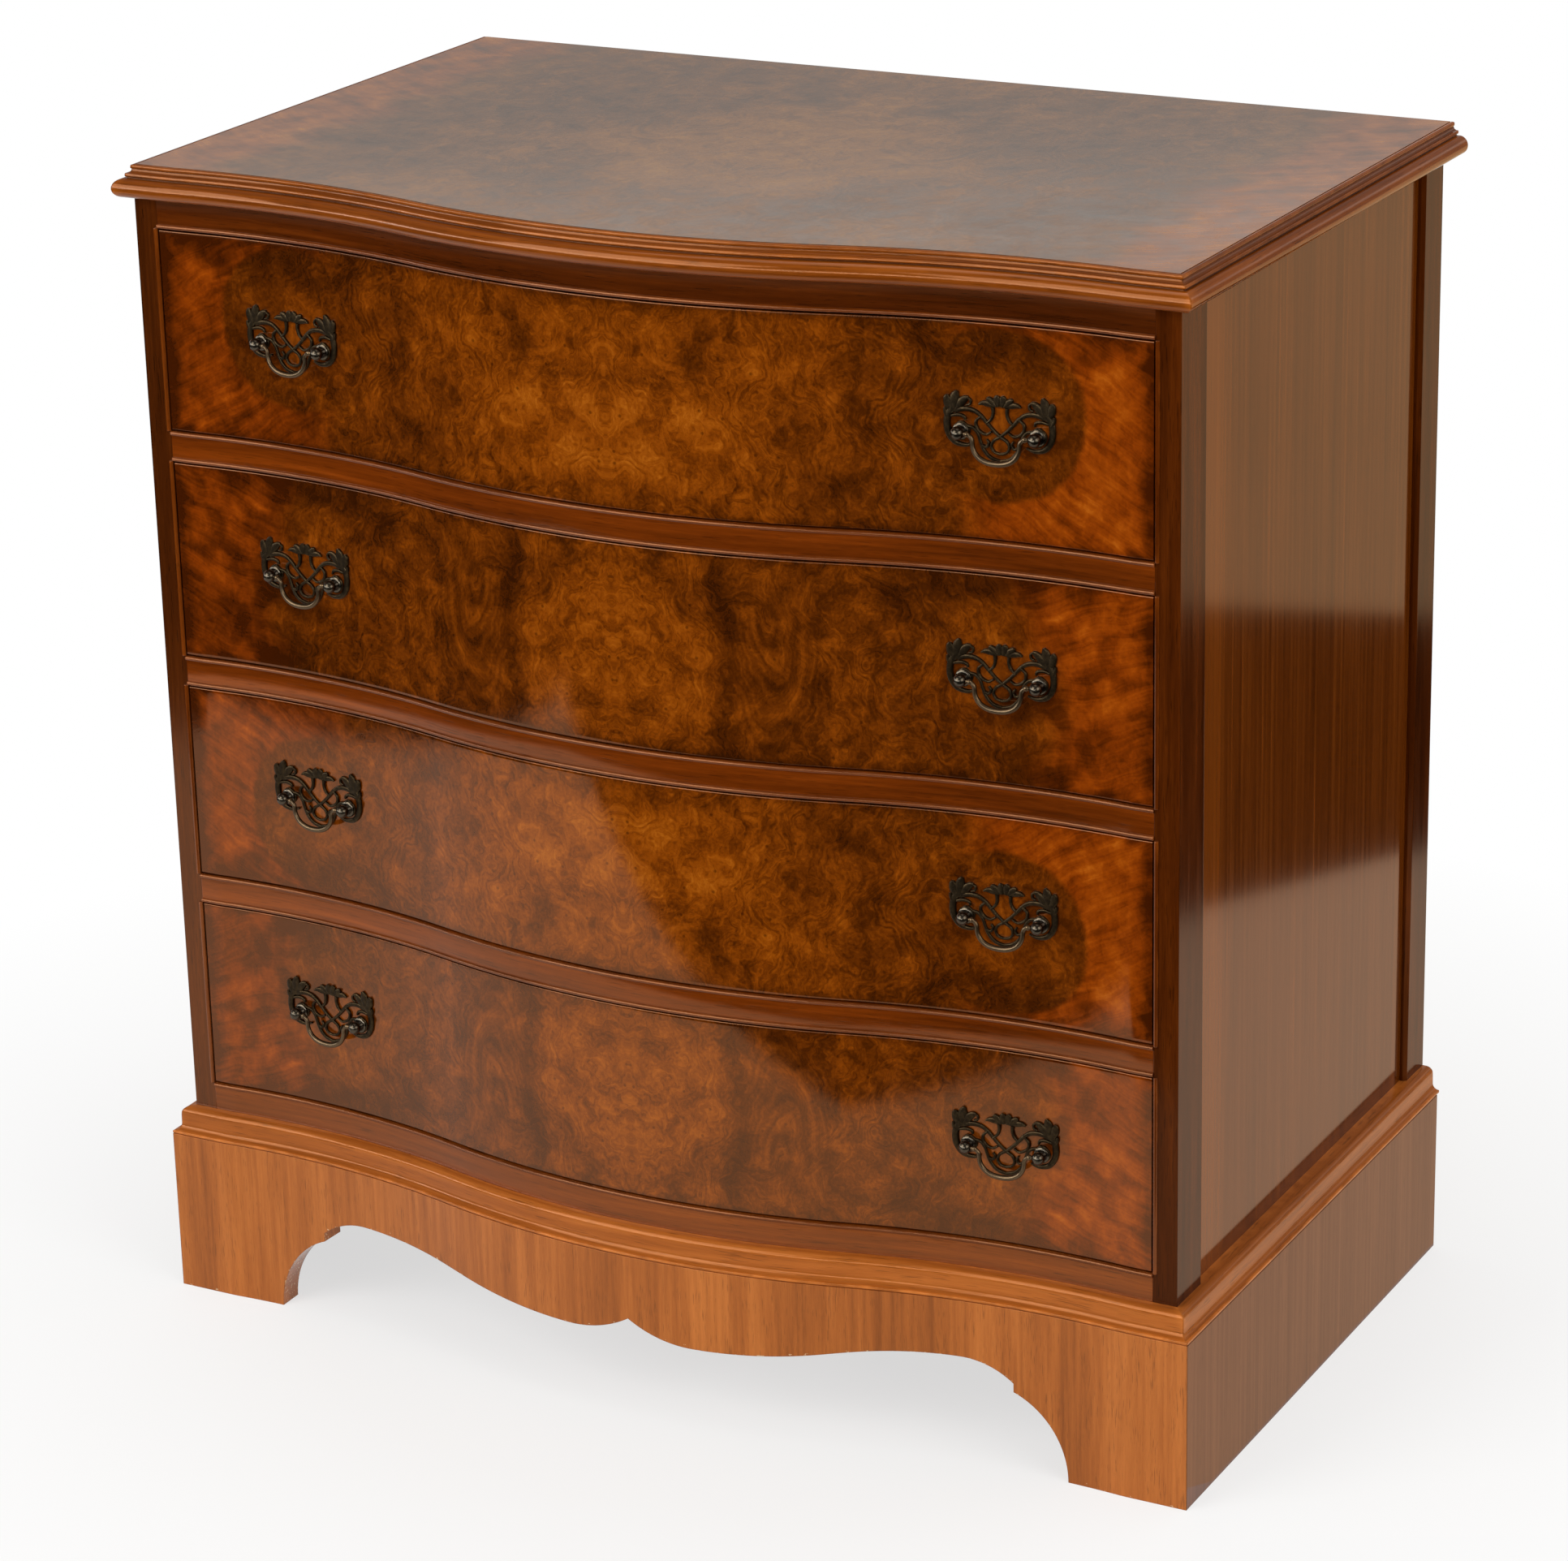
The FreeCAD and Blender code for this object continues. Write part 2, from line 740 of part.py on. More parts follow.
def base_profile():
    """Quarter round over a flat and a cove that runs out to the plinth's face."""
    width, height = size.base_moulding_width, size.base_moulding_height
    flat = width - size.base_cove_radius
    return [
        corner(0, 0),
        corner(width, 0),
        arc(width, size.base_lip_height, size.base_cove_radius, -1),
        corner(flat, size.base_lip_height + size.base_cove_radius),
        arc(flat, height - size.base_round_radius, size.base_round_radius, 1),
        corner(flat - size.base_round_radius, height),
        corner(0, height),
    ]


top = new_body("top_board")
top_corners = bow_left_to_right(-size.top_inset, top_half)
top_corners += [corner(top_half, top_back), corner(-top_half, top_back)]
pad(top, draw(new_sketch(top, "XY", carcase_top), top_corners), size.top_thickness)
node("top_board", top)

mouldings(
    "top", top_profile(), top_half, size.top_inset, -size.top_inset,
    top_moulding_width, carcase_top, size.top_thickness, top_back,
)
mouldings(
    "base", base_profile(), half_width, Dim.of(0), Dim.of(0),
    size.base_moulding_width, size.plinth_height, size.base_moulding_height, size.carcase_depth,
)


# Plinth with bracket feet

def apron_outline():
    """The opening under the plinth front: bracketed feet, swept crests and a cusp in the middle."""
    foot_x = plinth_half - size.foot_width
    arch_x = foot_x - size.foot_arch_radius
    step_x = arch_x + leg(size.foot_arch_radius, size.foot_step_height)
    step_top = size.foot_step_height + size.bracket_step
    crest_x = step_x - size.bracket_reach
    crest_drop = size.apron_crest_height - step_top
    crest_radius = (size.bracket_reach.squared() + crest_drop.squared()) / (2 * crest_drop)
    sweep = crest_x - size.apron_lobe_half
    sweep_rise = size.apron_crest_height - size.apron_lobe_height
    sweep_radius = (sweep.squared() + sweep_rise.squared()) / (4 * sweep_rise)
    cusp_rise = size.apron_cusp_height - size.apron_lobe_height
    lobe_radius = (size.apron_lobe_half.squared() + cusp_rise.squared()) / (2 * cusp_rise)
    sweep_x = size.apron_lobe_half + sweep / 2
    sweep_z = size.apron_lobe_height + sweep_rise / 2
    right_half = [
        arc(foot_x, 0, size.foot_arch_radius, 1),
        corner(step_x, size.foot_step_height),
        arc(step_x, step_top, crest_radius, 1),
        arc(crest_x, size.apron_crest_height, sweep_radius, 1),
        arc(sweep_x, sweep_z, sweep_radius, -1),
        arc(size.apron_lobe_half, size.apron_lobe_height, lobe_radius, -1),
    ]
    left_half = [
        arc(0, size.apron_cusp_height, lobe_radius, -1),
        arc(-size.apron_lobe_half, size.apron_lobe_height, sweep_radius, -1),
        arc(-sweep_x, sweep_z, sweep_radius, 1),
        arc(-crest_x, size.apron_crest_height, crest_radius, 1),
        corner(-step_x, step_top),
        arc(-step_x, size.foot_step_height, size.foot_arch_radius, 1),
        corner(-foot_x, 0),
    ]
    skirt = [corner(-foot_x, -OVERCUT), corner(foot_x, -OVERCUT)]
    return right_half + left_half + skirt


plinth = new_body("plinth_front")
outer_offset, inner_offset = size.base_moulding_width, -plinth_inset
plinth_corners = bow_left_to_right(outer_offset, plinth_half)
plinth_corners += bow_right_to_left(inner_offset, plinth_inner_half)
pad(plinth, draw(new_sketch(plinth, "XY"), plinth_corners), size.plinth_height)
apron_start = front_reach + OVERCUT
apron_length = apron_start + plinth_inset + size.hollow_depth + OVERCUT
pocket(plinth, draw(new_sketch(plinth, "XZ", apron_start), apron_outline()), apron_length)
node("plinth_front", plinth)

plinth_back = size.carcase_depth - size.plinth_setback
for side, sign in SIDES.items():
    body = new_body(f"plinth_{side}_side")
    corners = [
        corner(sign * plinth_half, -outer_offset),
        corner(sign * plinth_half, plinth_back),
        corner(sign * plinth_inner_half, plinth_back),
        corner(sign * plinth_inner_half, plinth_inset),
    ]
    pad(body, draw(new_sketch(body, "XY"), corners), size.plinth_height)
    node(f"plinth_{side}_side", body)

rail_front = plinth_back - size.plinth_rail_thickness
plinth_rail = board(
    "plinth_back_rail_board",
    (-plinth_inner_half, plinth_inner_half),
    (rail_front, plinth_back),
    (size.plinth_height - size.plinth_rail_height, size.plinth_height),
)
node("plinth_back_rail", plinth_rail)

block_front = plinth_inset + size.hollow_depth + size.joint_gap
block_z = (size.plinth_height - size.block_height, size.plinth_height)
blocks = []
for side, sign in SIDES.items():
    block_x = flanked(sign, plinth_inner_half - size.block_size, plinth_inner_half)
    for end, start in (("front", block_front), ("rear", rail_front - size.block_size)):
        span = (start, start + size.block_size)
        blocks.append(board(f"{side}_{end}_block", block_x, span, block_z))
node("plinth_blocks", group("block_group", blocks))


# Handles: a pierced plate bent to the bow, two posts with nuts, and a bail that swings on the posts

def plate_loops():
    """Outline of the pierced plate as corners for its right half, then for its left half."""
    neck_z = size.finial_rise - size.finial_neck_drop
    cap_z = size.finial_rise - size.finial_cap_drop
    shoulder = size.plate_shoulder_rise
    half = [
        (Dim.of(0), size.finial_rise, 16.0, -1),
        (size.finial_cap_half, cap_z, None, 0),
        (size.finial_neck_half, neck_z, None, 0),
        (size.finial_neck_half, shoulder, 9.0, 1),
        (size.wing_inner_half, shoulder, 20.0, 1),
        (size.wing_inner_half, size.wing_shoulder_rise, 12.0, -1),
        (size.wing_tip_half, size.wing_tip_rise, 20.0, -1),
        (size.plate_half_width, size.wing_side_rise, 16.0, -1),
        (size.wing_tip_half, -size.wing_foot_drop, 12.0, 1),
        (size.lobe_half, -size.lobe_side_drop, 16.0, -1),
        (Dim.of(0), -size.plate_drop, None, 0),
    ]
    right = [(x, z, Dim.of(radius) if radius else None, turn) for x, z, radius, turn in half[:-1]]
    left = []
    for before, here in zip(reversed(half[:-1]), reversed(half[1:])):
        radius = Dim.of(before[2]) if before[2] else None
        left.append((-here[0], here[1], radius, before[3]))
    return right + left


def back_plate(name, place_at):
    body = new_body(name, **place_at)
    reach = size.plate_half_width + size.plate_margin
    low = -size.plate_drop - size.plate_margin
    high = size.wing_tip_rise + size.plate_margin
    back_y = leg(plate_back_radius, reach) - bow_radius
    front_y = leg(plate_front_radius, reach) - bow_radius
    band = [
        arc(-reach, back_y, plate_back_radius, -1),
        corner(reach, back_y),
        arc(reach, front_y, plate_front_radius, 1),
        corner(-reach, front_y),
    ]
    pad(body, draw(new_sketch(body, "XY", low), band), high - low)
    start = post_seat + size.plate_margin
    waste = new_sketch(body, "XZ", start)
    rim_x = reach + OVERCUT
    rim_low, rim_high = low - OVERCUT, high + OVERCUT
    draw(waste, [corner(-rim_x, rim_low), corner(rim_x, rim_low),
                 corner(rim_x, rim_high), corner(-rim_x, rim_high)])
    draw(waste, plate_loops())
    for sign in SIDES.values():
        draw_circle(waste, sign * post_half, 0, size.post_shank_radius + size.post_hole_gap)
        draw_circle(waste, sign * size.wing_eye_half, size.wing_eye_rise, size.wing_eye_radius)
        draw_circle(waste, sign * size.neck_eye_half, -size.neck_eye_drop, size.neck_eye_radius)
    draw_circle(waste, 0, -size.lobe_eye_drop, size.lobe_eye_radius)
    pocket(body, waste, start + size.plate_margin)
    return body


def handle_post(name, place_at, sign):
    """Turned post: a shank through the drawer front, a collar on the plate, a neck and a ball."""
    body = new_body(name, **place_at)
    ball, neck = size.post_ball_radius, size.post_neck_radius
    collar = post_seat + size.post_collar_height
    tail = nut_seat + size.nut_thickness + size.post_tail
    centre = size.post_standoff
    profile = new_sketch(body, "XY")
    draw(profile, [
        corner(0, tail),
        arc(0, -centre - ball, ball, 1),
        arc(ball, -centre, ball, 1),
        corner(neck, leg(ball, neck) - centre),
        corner(neck, -collar),
        corner(size.post_collar_radius, -collar),
        corner(size.post_collar_radius, -post_seat),
        corner(size.post_shank_radius, -post_seat),
        corner(size.post_shank_radius, tail),
    ])
    turned = body.newObject("PartDesign::Revolution", f"{name}_turned")
    turned.Profile = profile
    turned.ReferenceAxis = (profile, ["V_Axis"])
    turned.Angle = 360.0
    socket = new_sketch(body, "YZ")
    draw_circle(socket, -centre, 0, size.bail_radius + size.bail_pin_gap)
    pocket(body, socket, ball + OVERCUT, reverse=sign < 0)
    return body


def handle_nut(name, place_at):
    """Hexagonal nut against the inside of the drawer front."""
    body = new_body(name, **place_at)
    sketch = new_sketch(body, "XZ", -nut_seat)
    radius = size.nut_radius
    flat = radius / 2
    rise = (radius.squared() - flat.squared()).root()
    draw(sketch, [
        corner(radius, 0), corner(flat, rise), corner(-flat, rise),
        corner(-radius, 0), corner(-flat, -rise), corner(flat, -rise),
    ])
    draw_circle(sketch, 0, 0, size.post_shank_radius + size.post_hole_gap)
    pad(body, sketch, size.nut_thickness, reverse=True)
    return body


def swan_neck_bail(name, place_at):
    """Round bar from pin to pin: inwards, down round a small bend and along a half circle."""
    body = new_body(name, **place_at)
    half, bend = size.bail_half_width, size.bail_bend_radius
    pin_end = post_half - size.bail_end_gap
    spine = new_sketch(body, "XZ", size.post_standoff)
    draw(spine, [
        corner(-pin_end, 0),
        arc(-half - bend, 0, bend, -1),
        arc(-half, -bend, half, 1),
        arc(0, -bend - half, half, 1),
        arc(half, -bend, bend, -1),
        corner(half + bend, 0),
        corner(pin_end, 0),
    ], closed=False)
    section = new_sketch(body, "YZ", -pin_end)
    draw_circle(section, -size.post_standoff, 0, size.bail_radius)
    pipe(body, section, spine, 6)
    return body


# Drawers

def drawer_front_body(name, low, high):
    """Front with parallel bowed faces and square ends."""
    body = new_body(name)
    corners = bow_left_to_right(0, drawer_half)
    corners += bow_right_to_left(-size.drawer_front_thickness, drawer_half)
    pad(body, draw(new_sketch(body, "XY", low), corners), high - low)
    return body


def drawer_bottom_body(name, z):
    """Thin bottom, cut to the front's inner curve and let into grooves in the sides."""
    body = new_body(name)
    half = drawer_inner_half + size.drawer_groove_depth
    corners = bow_left_to_right(-size.drawer_front_thickness - size.joint_gap, half)
    corners += [corner(half, drawer_tail), corner(-half, drawer_tail)]
    pad(body, draw(new_sketch(body, "XY", z), corners), size.drawer_bottom_thickness)
    return body


def drawer_sides(name, low, high, floor):
    """Two sides, each grooved along its inner face for the bottom."""
    land = size.drawer_front_thickness
    pieces = []
    for side, sign in SIDES.items():
        plain = board(
            f"{name}_{side}_blank",
            flanked(sign, drawer_inner_half, drawer_half),
            (land, drawer_tail),
            (low, high),
        )
        groove = board(
            f"{name}_{side}_groove",
            flanked(sign, drawer_inner_half - OVERCUT, drawer_inner_half + size.drawer_groove_depth),
            (land - OVERCUT, drawer_tail + OVERCUT),
            (floor, floor + size.drawer_bottom_thickness),
        )
        pieces.append(cut(f"{name}_{side}", plain, groove))
    return group(f"{name}_pair", pieces)


def build_drawer(number):
    name = f"drawer_{number}"
    low, high = opening_bottoms[number], opening_tops[number]
    side_low = low + size.drawer_running_gap
    side_high = high - size.drawer_top_gap
    floor = side_low + size.drawer_bottom_lift
    middle = (low + high) / 2
    face = drawer_front_body(
        f"{name}_front", low + size.drawer_front_gap, high - size.drawer_front_gap
    )
    plates = []
    fixings = []
    holes = []
    for side, sign in SIDES.items():
        tilt = ((hollow_x - handle_x) / bow_radius).arcsine()
        centre = {
            "x": sign * handle_x,
            "depth": bow_depth(handle_x),
            "z": middle,
            "turn": tilt,
            "about": sign,
        }
        plates.append(back_plate(f"{name}_{side}_plate", centre))
        node(f"{name}_{side}_bail", swan_neck_bail(f"{name}_{side}_bail", centre))
        for end, end_sign in SIDES.items():
            label = f"{name}_{side}_{end}"
            along_x, along_depth = along_face(sign, end_sign)
            spot = dict(centre)
            spot["x"] = centre["x"] + along_x
            spot["depth"] = centre["depth"] + along_depth
            fixings.append(handle_post(f"{label}_post", spot, end_sign))
            fixings.append(handle_nut(f"{label}_nut", spot))
            holes.append(post_hole(f"{label}_hole", spot))
    node(f"{name}_front", cut(f"{name}_front_bored", face, group(f"{name}_holes", holes)))
    node(f"{name}_sides", drawer_sides(f"{name}_sides", side_low, side_high, floor))
    back = board(
        f"{name}_back_board",
        (-drawer_inner_half, drawer_inner_half),
        (drawer_tail - size.drawer_back_thickness, drawer_tail),
        (floor + size.drawer_bottom_thickness, side_high - size.drawer_back_drop),
    )
    node(f"{name}_back", back)
    node(f"{name}_bottom", drawer_bottom_body(f"{name}_bottom", floor))
    node(f"{name}_backplates", group(f"{name}_plate_pair", plates))
    node(f"{name}_handle_posts", group(f"{name}_fixings", fixings))


def along_face(sign, end_sign):
    """Steps in x and depth from a handle's middle to one of its posts, along the face's tangent."""
    slope = (hollow_x - handle_x) / bow_radius
    run = leg(Dim.of(1), slope)
    return end_sign * post_half * run, sign * end_sign * post_half * slope


def post_hole(name, spot):
    """Bar that bores a drawer front for one post."""
    body = new_body(name, **spot)
    sketch = new_sketch(body, "XZ", post_seat)
    draw_circle(sketch, 0, 0, size.post_shank_radius + size.post_hole_gap)
    pad(body, sketch, post_seat + size.drawer_front_thickness + OVERCUT, reverse=True)
    return body


for number in DRAWERS:
    build_drawer(number)


# Checks, then one file for each piece

doc.recompute()
for item in doc.Objects:
    if "Invalid" in item.State or "Error" in item.State:
        raise RuntimeError(f"{item.Name} failed: {item.State}")
for piece in nodes:
    if piece.Shape.isNull() or not piece.Shape.isValid():
        raise RuntimeError(f"{piece.Label} has no valid shape")

os.makedirs("parts", exist_ok=True)
for piece in nodes:
    piece.Shape.exportStep(f"parts/{piece.Label}.step")
    print(f"{piece.Label}: {len(piece.Shape.Solids)} solids, {piece.Shape.Volume:.0f} mm3")
print(f"{len(nodes)} nodes")
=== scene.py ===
"""Dresses the serpentine chest of drawers: bookmatched burr fronts, moulded walnut and aged brass handles."""

import logging
import math
from dataclasses import dataclass, field
from enum import Enum
from typing import ClassVar, Optional, Sequence, Union

import bmesh
import bpy
import numpy as np
from mathutils import Matrix, Vector


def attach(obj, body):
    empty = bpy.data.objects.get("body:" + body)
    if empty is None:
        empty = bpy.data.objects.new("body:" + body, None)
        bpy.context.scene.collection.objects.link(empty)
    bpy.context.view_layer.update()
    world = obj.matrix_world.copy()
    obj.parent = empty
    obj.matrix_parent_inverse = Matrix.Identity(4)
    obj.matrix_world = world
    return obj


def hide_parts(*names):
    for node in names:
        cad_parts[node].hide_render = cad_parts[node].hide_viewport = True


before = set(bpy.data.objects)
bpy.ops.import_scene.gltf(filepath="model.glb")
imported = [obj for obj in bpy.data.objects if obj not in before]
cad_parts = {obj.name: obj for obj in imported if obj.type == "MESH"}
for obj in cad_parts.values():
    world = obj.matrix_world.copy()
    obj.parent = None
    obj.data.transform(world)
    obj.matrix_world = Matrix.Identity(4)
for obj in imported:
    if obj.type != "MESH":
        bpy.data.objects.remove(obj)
log = logging.getLogger("chest")

Array = np.ndarray
Pair = tuple[float, float]
Triple = tuple[float, float, float]
Colour = Triple
Stops = Sequence[tuple[float, Colour]]
Material = bpy.types.Material
Piece = bpy.types.Object
Socket = bpy.types.NodeSocket
Value = Union[Socket, float, tuple[float, ...]]

MM = 0.001
SIDES = (-1, 1)
LATTICE = 128  # numbers along each side of a noise table
POLISH = (1.0, 0.46, 0.21, 1.0)  # tint of reflections in old polish

# Sizes that pieces share, in mm
TOP_LOW, TOP_HALF, TOP_INSET, TOP_BACK = 769.0, 364.5, 2.0, 434.0
PLINTH_HIGH, PLINTH_HALF = 114.0, 366.5
FRONT_HALF, FRONT_THICK, FRONT_GAP = 349.0, 20.0, 1.0
FLAME_FROM = 258.0  # where a leaf's straight flames begin
PLACES = 150  # along the bow, for rails and mouldings


# Fields and curves


def smooth_step(low: float, high: float, value: Array) -> Array:
    """Rises from 0 at low to 1 at high along 3t^2 - 2t^3."""
    t = np.clip((value - low) / (high - low), 0.0, 1.0)
    return t * t * (3.0 - 2.0 * t)


def lattice_noise(x: Array, y: Array, seed: int) -> Array:
    """Value noise: random numbers on a unit lattice, blended across each cell by smooth steps.

    Args:
        x: First coordinate, in cells.
        y: Second coordinate, in cells.
        seed: Picks the lattice.

    Returns:
        Numbers between 0 and 1.
    """
    table = np.random.default_rng(seed).random((LATTICE, LATTICE))
    column, row = np.floor(x).astype(int), np.floor(y).astype(int)
    across, up = smooth_step(0, 1, x - column), smooth_step(0, 1, y - row)

    def edge(shift: int) -> Array:
        """Numbers along the lower or the upper edge of each cell."""
        level = (row + shift) % LATTICE
        return table[column % LATTICE, level] * (1 - across) + table[(column + 1) % LATTICE, level] * across

    return edge(0) * (1 - up) + edge(1) * up


def clouds(x: Array, y: Array, seed: int, octaves: int = 4) -> Array:
    """Sum of lattice noises, each of half the size and weight of the one before, centred on 0.

    Args:
        x: First coordinate, in cells of the largest noise.
        y: Second coordinate, in the same cells.
        seed: Picks the lattices.
        octaves: How many noises are summed.

    Returns:
        Numbers between -1 and 1.
    """
    weights = 0.5 ** np.arange(octaves)
    layers = [w * (lattice_noise(x * 2 ** k + 7.3 * k, y * 2 ** k + 3.1 * k, seed + k) - 0.5)
              for k, w in enumerate(weights)]
    return sum(layers) / weights.sum() * 2.0


def spline(points: Sequence[Sequence[float]], count: int) -> Array:
    """Catmull-Rom curve through the points: each span is the cubic set by its four nearest points.

    Args:
        points: Rows of numbers, one row for each knot.
        count: Samples along the whole curve.

    Returns:
        Array of count rows.
    """
    knots = np.asarray(points, float)
    padded = np.vstack([2 * knots[0] - knots[1], knots, 2 * knots[-1] - knots[-2]])
    place = np.linspace(0, len(knots) - 1, count)
    span = np.minimum(place.astype(int), len(knots) - 2)
    t = (place - span)[:, None]
    a, b, c, d = (padded[span + k] for k in range(4))
    return 0.5 * (2 * b + (c - a) * t + (2 * a - 5 * b + 4 * c - d) * t ** 2 + (3 * b - a - 3 * c + d) * t ** 3)


def run_along(rows: Array) -> Array:
    """Length along a line of flat points from its start to each, by summing chords."""
    return np.concatenate([[0], np.cumsum(np.hypot(*np.diff(rows, axis=0).T))])


@dataclass(frozen=True)
class Bow:
    """The serpentine line of the front: a swelling, two hollows of the same radius, and eased flats."""

    flat_x: float = 338.0
    swell: float = 38.5
    hollow: float = 1.6
    ease: float = 60.0
    shift: float = -192.3

    @property
    def hollow_x(self) -> float:
        """Distance of each hollow's deepest point from the middle.

        Returns:
            The distance in mm, the root of the quadratic for which all the arcs touch.
        """
        ratio = 1 - self.hollow / (2 * self.swell)
        term = self.hollow * (self.swell / 2 + 2 * self.ease - self.hollow)
        return (self.flat_x - math.sqrt(self.flat_x ** 2 - ratio * (self.flat_x ** 2 - term))) / ratio

    @property
    def radius(self) -> float:
        """Radius of the swelling and of the hollows."""
        return (self.hollow_x ** 2 + self.swell ** 2) / (4 * self.swell)

    def line(self, x: Array) -> tuple[Array, Array]:
        """Depth and slope at x: arcs of circles joined where they touch.

        Args:
            x: Distances from the middle, in mm.

        Returns:
            Depths behind the stile fronts, and their slopes.
        """
        u = np.abs(x)
        side = np.sign(x)
        joint = self.flat_x - self.ease * (self.flat_x - self.hollow_x) / (self.radius + self.ease)
        crest = np.sqrt(np.maximum(self.radius ** 2 - u ** 2, 1.0))
        dip = np.sqrt(np.maximum(self.radius ** 2 - (u - self.hollow_x) ** 2, 1.0))
        lift = np.sqrt(np.maximum(self.ease ** 2 - (self.flat_x - u) ** 2, 1.0))
        zones = [u <= self.hollow_x / 2, u <= joint, u <= self.flat_x]
        depth = np.select(zones, [
            self.hollow - self.swell + self.radius - crest,
            self.hollow - self.radius + dip,
            self.ease - lift,
        ], 0.0)
        slope = np.select(zones, [u / crest, -(u - self.hollow_x) / dip, -(self.flat_x - u) / lift], 0.0)
        return depth, slope * side

    def at(self, x: Array, out: Array) -> tuple[Array, Array]:
        """Point a distance out along the line's normal: x + out n_x, depth + out n_y.

        Args:
            x: Distances from the middle, in mm.
            out: Distances outwards from the line, in mm.

        Returns:
            The points' x and y.
        """
        depth, slope = self.line(x)
        length = np.sqrt(1 + slope ** 2)
        return x + out * slope / length, depth - out / length + self.shift

    def run(self, x: Array) -> Array:
        """Length along the line from the middle to x.

        Args:
            x: Distances from the middle, in mm.

        Returns:
            Sums of chords, with the sign of x.
        """
        table = np.linspace(0, 400, 2001)
        length = run_along(np.column_stack([table, self.line(table)[0]]))
        return np.sign(x) * np.interp(np.abs(x), table, length)


BOW = Bow()


# Meshes


@dataclass
class Shell:
    """Grids of points gathered into one mesh, with figures kept on the points."""

    points: list[Array] = field(default_factory=list)
    faces: list[Array] = field(default_factory=list)
    caps: list[list[int]] = field(default_factory=list)
    figures: dict[str, list[Array]] = field(default_factory=dict)
    count: int = 0

    def add(self, grid: Array, figures: Optional[dict[str, Array]] = None, closed: bool = True,
            capped: bool = True) -> "Shell":
        """Adds a grid of points as a sheet or, where closed, as a tube along its first direction.

        Args:
            grid: Points by path and profile, of shape (n, m, 3), in mm.
            figures: Named vectors of the same shape that stay with the points.
            closed: Whether the profile closes on itself.
            capped: Whether both ends of the tube are filled.

        Returns:
            The same shell.
        """
        n, m, _ = grid.shape
        index = self.count + np.arange(n * m).reshape(n, m)
        around = np.roll(index, -1, axis=1) if closed else index[:, 1:]
        near = index if closed else index[:, :-1]
        quads = np.stack([near[:-1], around[:-1], around[1:], near[1:]], axis=-1)
        self.points.append(grid.reshape(-1, 3))
        self.faces.append(quads.reshape(-1, 4))
        if closed and capped:
            self.caps += [index[0, ::-1].tolist(), index[-1].tolist()]
        for name, values in (figures or {}).items():
            self.figures.setdefault(name, []).append(values.reshape(-1, 3))
        self.count += n * m
        return self

    def mesh(self, name: str, sharp: float = 40.0) -> Piece:
        """Makes the object, with its faces turned outwards and smooth below the sharp angle.

        Args:
            name: Name of the object and of its mesh.
            sharp: Angle in degrees, above which an edge stays sharp.

        Returns:
            The object, linked to the scene.
        """
        data = bpy.data.meshes.new(name)
        points = np.concatenate(self.points) * MM
        faces = np.concatenate(self.faces).tolist() + self.caps
        data.from_pydata(points.tolist(), [], faces)
        for label, values in self.figures.items():
            layer = data.attributes.new(label, "FLOAT_VECTOR", "POINT")
            layer.data.foreach_set("vector", np.concatenate(values).astype(np.float32).ravel())
        shape = bmesh.new()
        shape.from_mesh(data)
        bmesh.ops.recalc_face_normals(shape, faces=shape.faces)
        shape.to_mesh(data)
        shape.free()
        data.polygons.foreach_set("use_smooth", np.ones(len(data.polygons), bool))
        data.set_sharp_from_angle(angle=math.radians(sharp))
        piece = bpy.data.objects.new(name, data)
        bpy.context.scene.collection.objects.link(piece)
        return piece


def settle(piece: Piece, material: Material, body: str, nodes: Sequence[str]) -> None:
    """Gives a new piece its finish and its body, and hides the CAD nodes that it stands for.

    Args:
        piece: The new object.
        material: Its finish.
        body: The body it moves with.
        nodes: CAD nodes that it replaces.
    """
    piece.data.materials.append(material)
    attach(piece, body)
    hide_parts(*nodes)
    log.info("%s: %d faces on %s", piece.name, len(piece.data.polygons), body)


def vectors(x: Array, y: Array, z: Array) -> Array:
    """Joins three fields, each spread to their common shape, into points or directions."""
    return np.stack(np.broadcast_arrays(x, y, z), axis=-1)


def turn(start: float, end: float, centre: Pair, radius: float, count: int) -> list[Pair]:
    """Points of an arc from one angle to another, in degrees."""
    angles = np.radians(np.linspace(start, end, count))
    return list(zip(centre[0] + radius * np.cos(angles), centre[1] + radius * np.sin(angles)))


def rounded_box(low: float, high: float, back: float, front: float, radius: float, fine: int = 2) -> Array:
    """Closed section of a board in (out, z): four quarter rounds joined by straight runs.

    Args:
        low: Lower edge.
        high: Upper edge.
        back: Out of the back face.
        front: Out of the front face.
        radius: Of the four edges.
        fine: Points along the front face.

    Returns:
        Rows of (out, z), starting at the foot of the front face.
    """
    face = np.column_stack([np.full(fine, front), np.linspace(low + radius, high - radius, fine)])
    arcs = [turn(0, 90, (front - radius, high - radius), radius, 5)[1:],
            turn(90, 180, (back + radius, high - radius), radius, 3),
            turn(180, 270, (back + radius, low + radius), radius, 3),
            turn(270, 360, (front - radius, low + radius), radius, 5)[:-1]]
    return np.vstack([face] + [np.array(a) for a in arcs])


def stations(half: float, count: int) -> Array:
    """Places along the front from -half to half, with the ends of the flats among them.

    Args:
        half: Half length.
        count: Places between the two flats.

    Returns:
        Distances from the middle, in order.
    """
    inner = np.linspace(-BOW.flat_x, BOW.flat_x, count)
    outer = np.linspace(BOW.flat_x, half, 7)[1:]
    return np.concatenate([-outer[::-1], inner, outer])


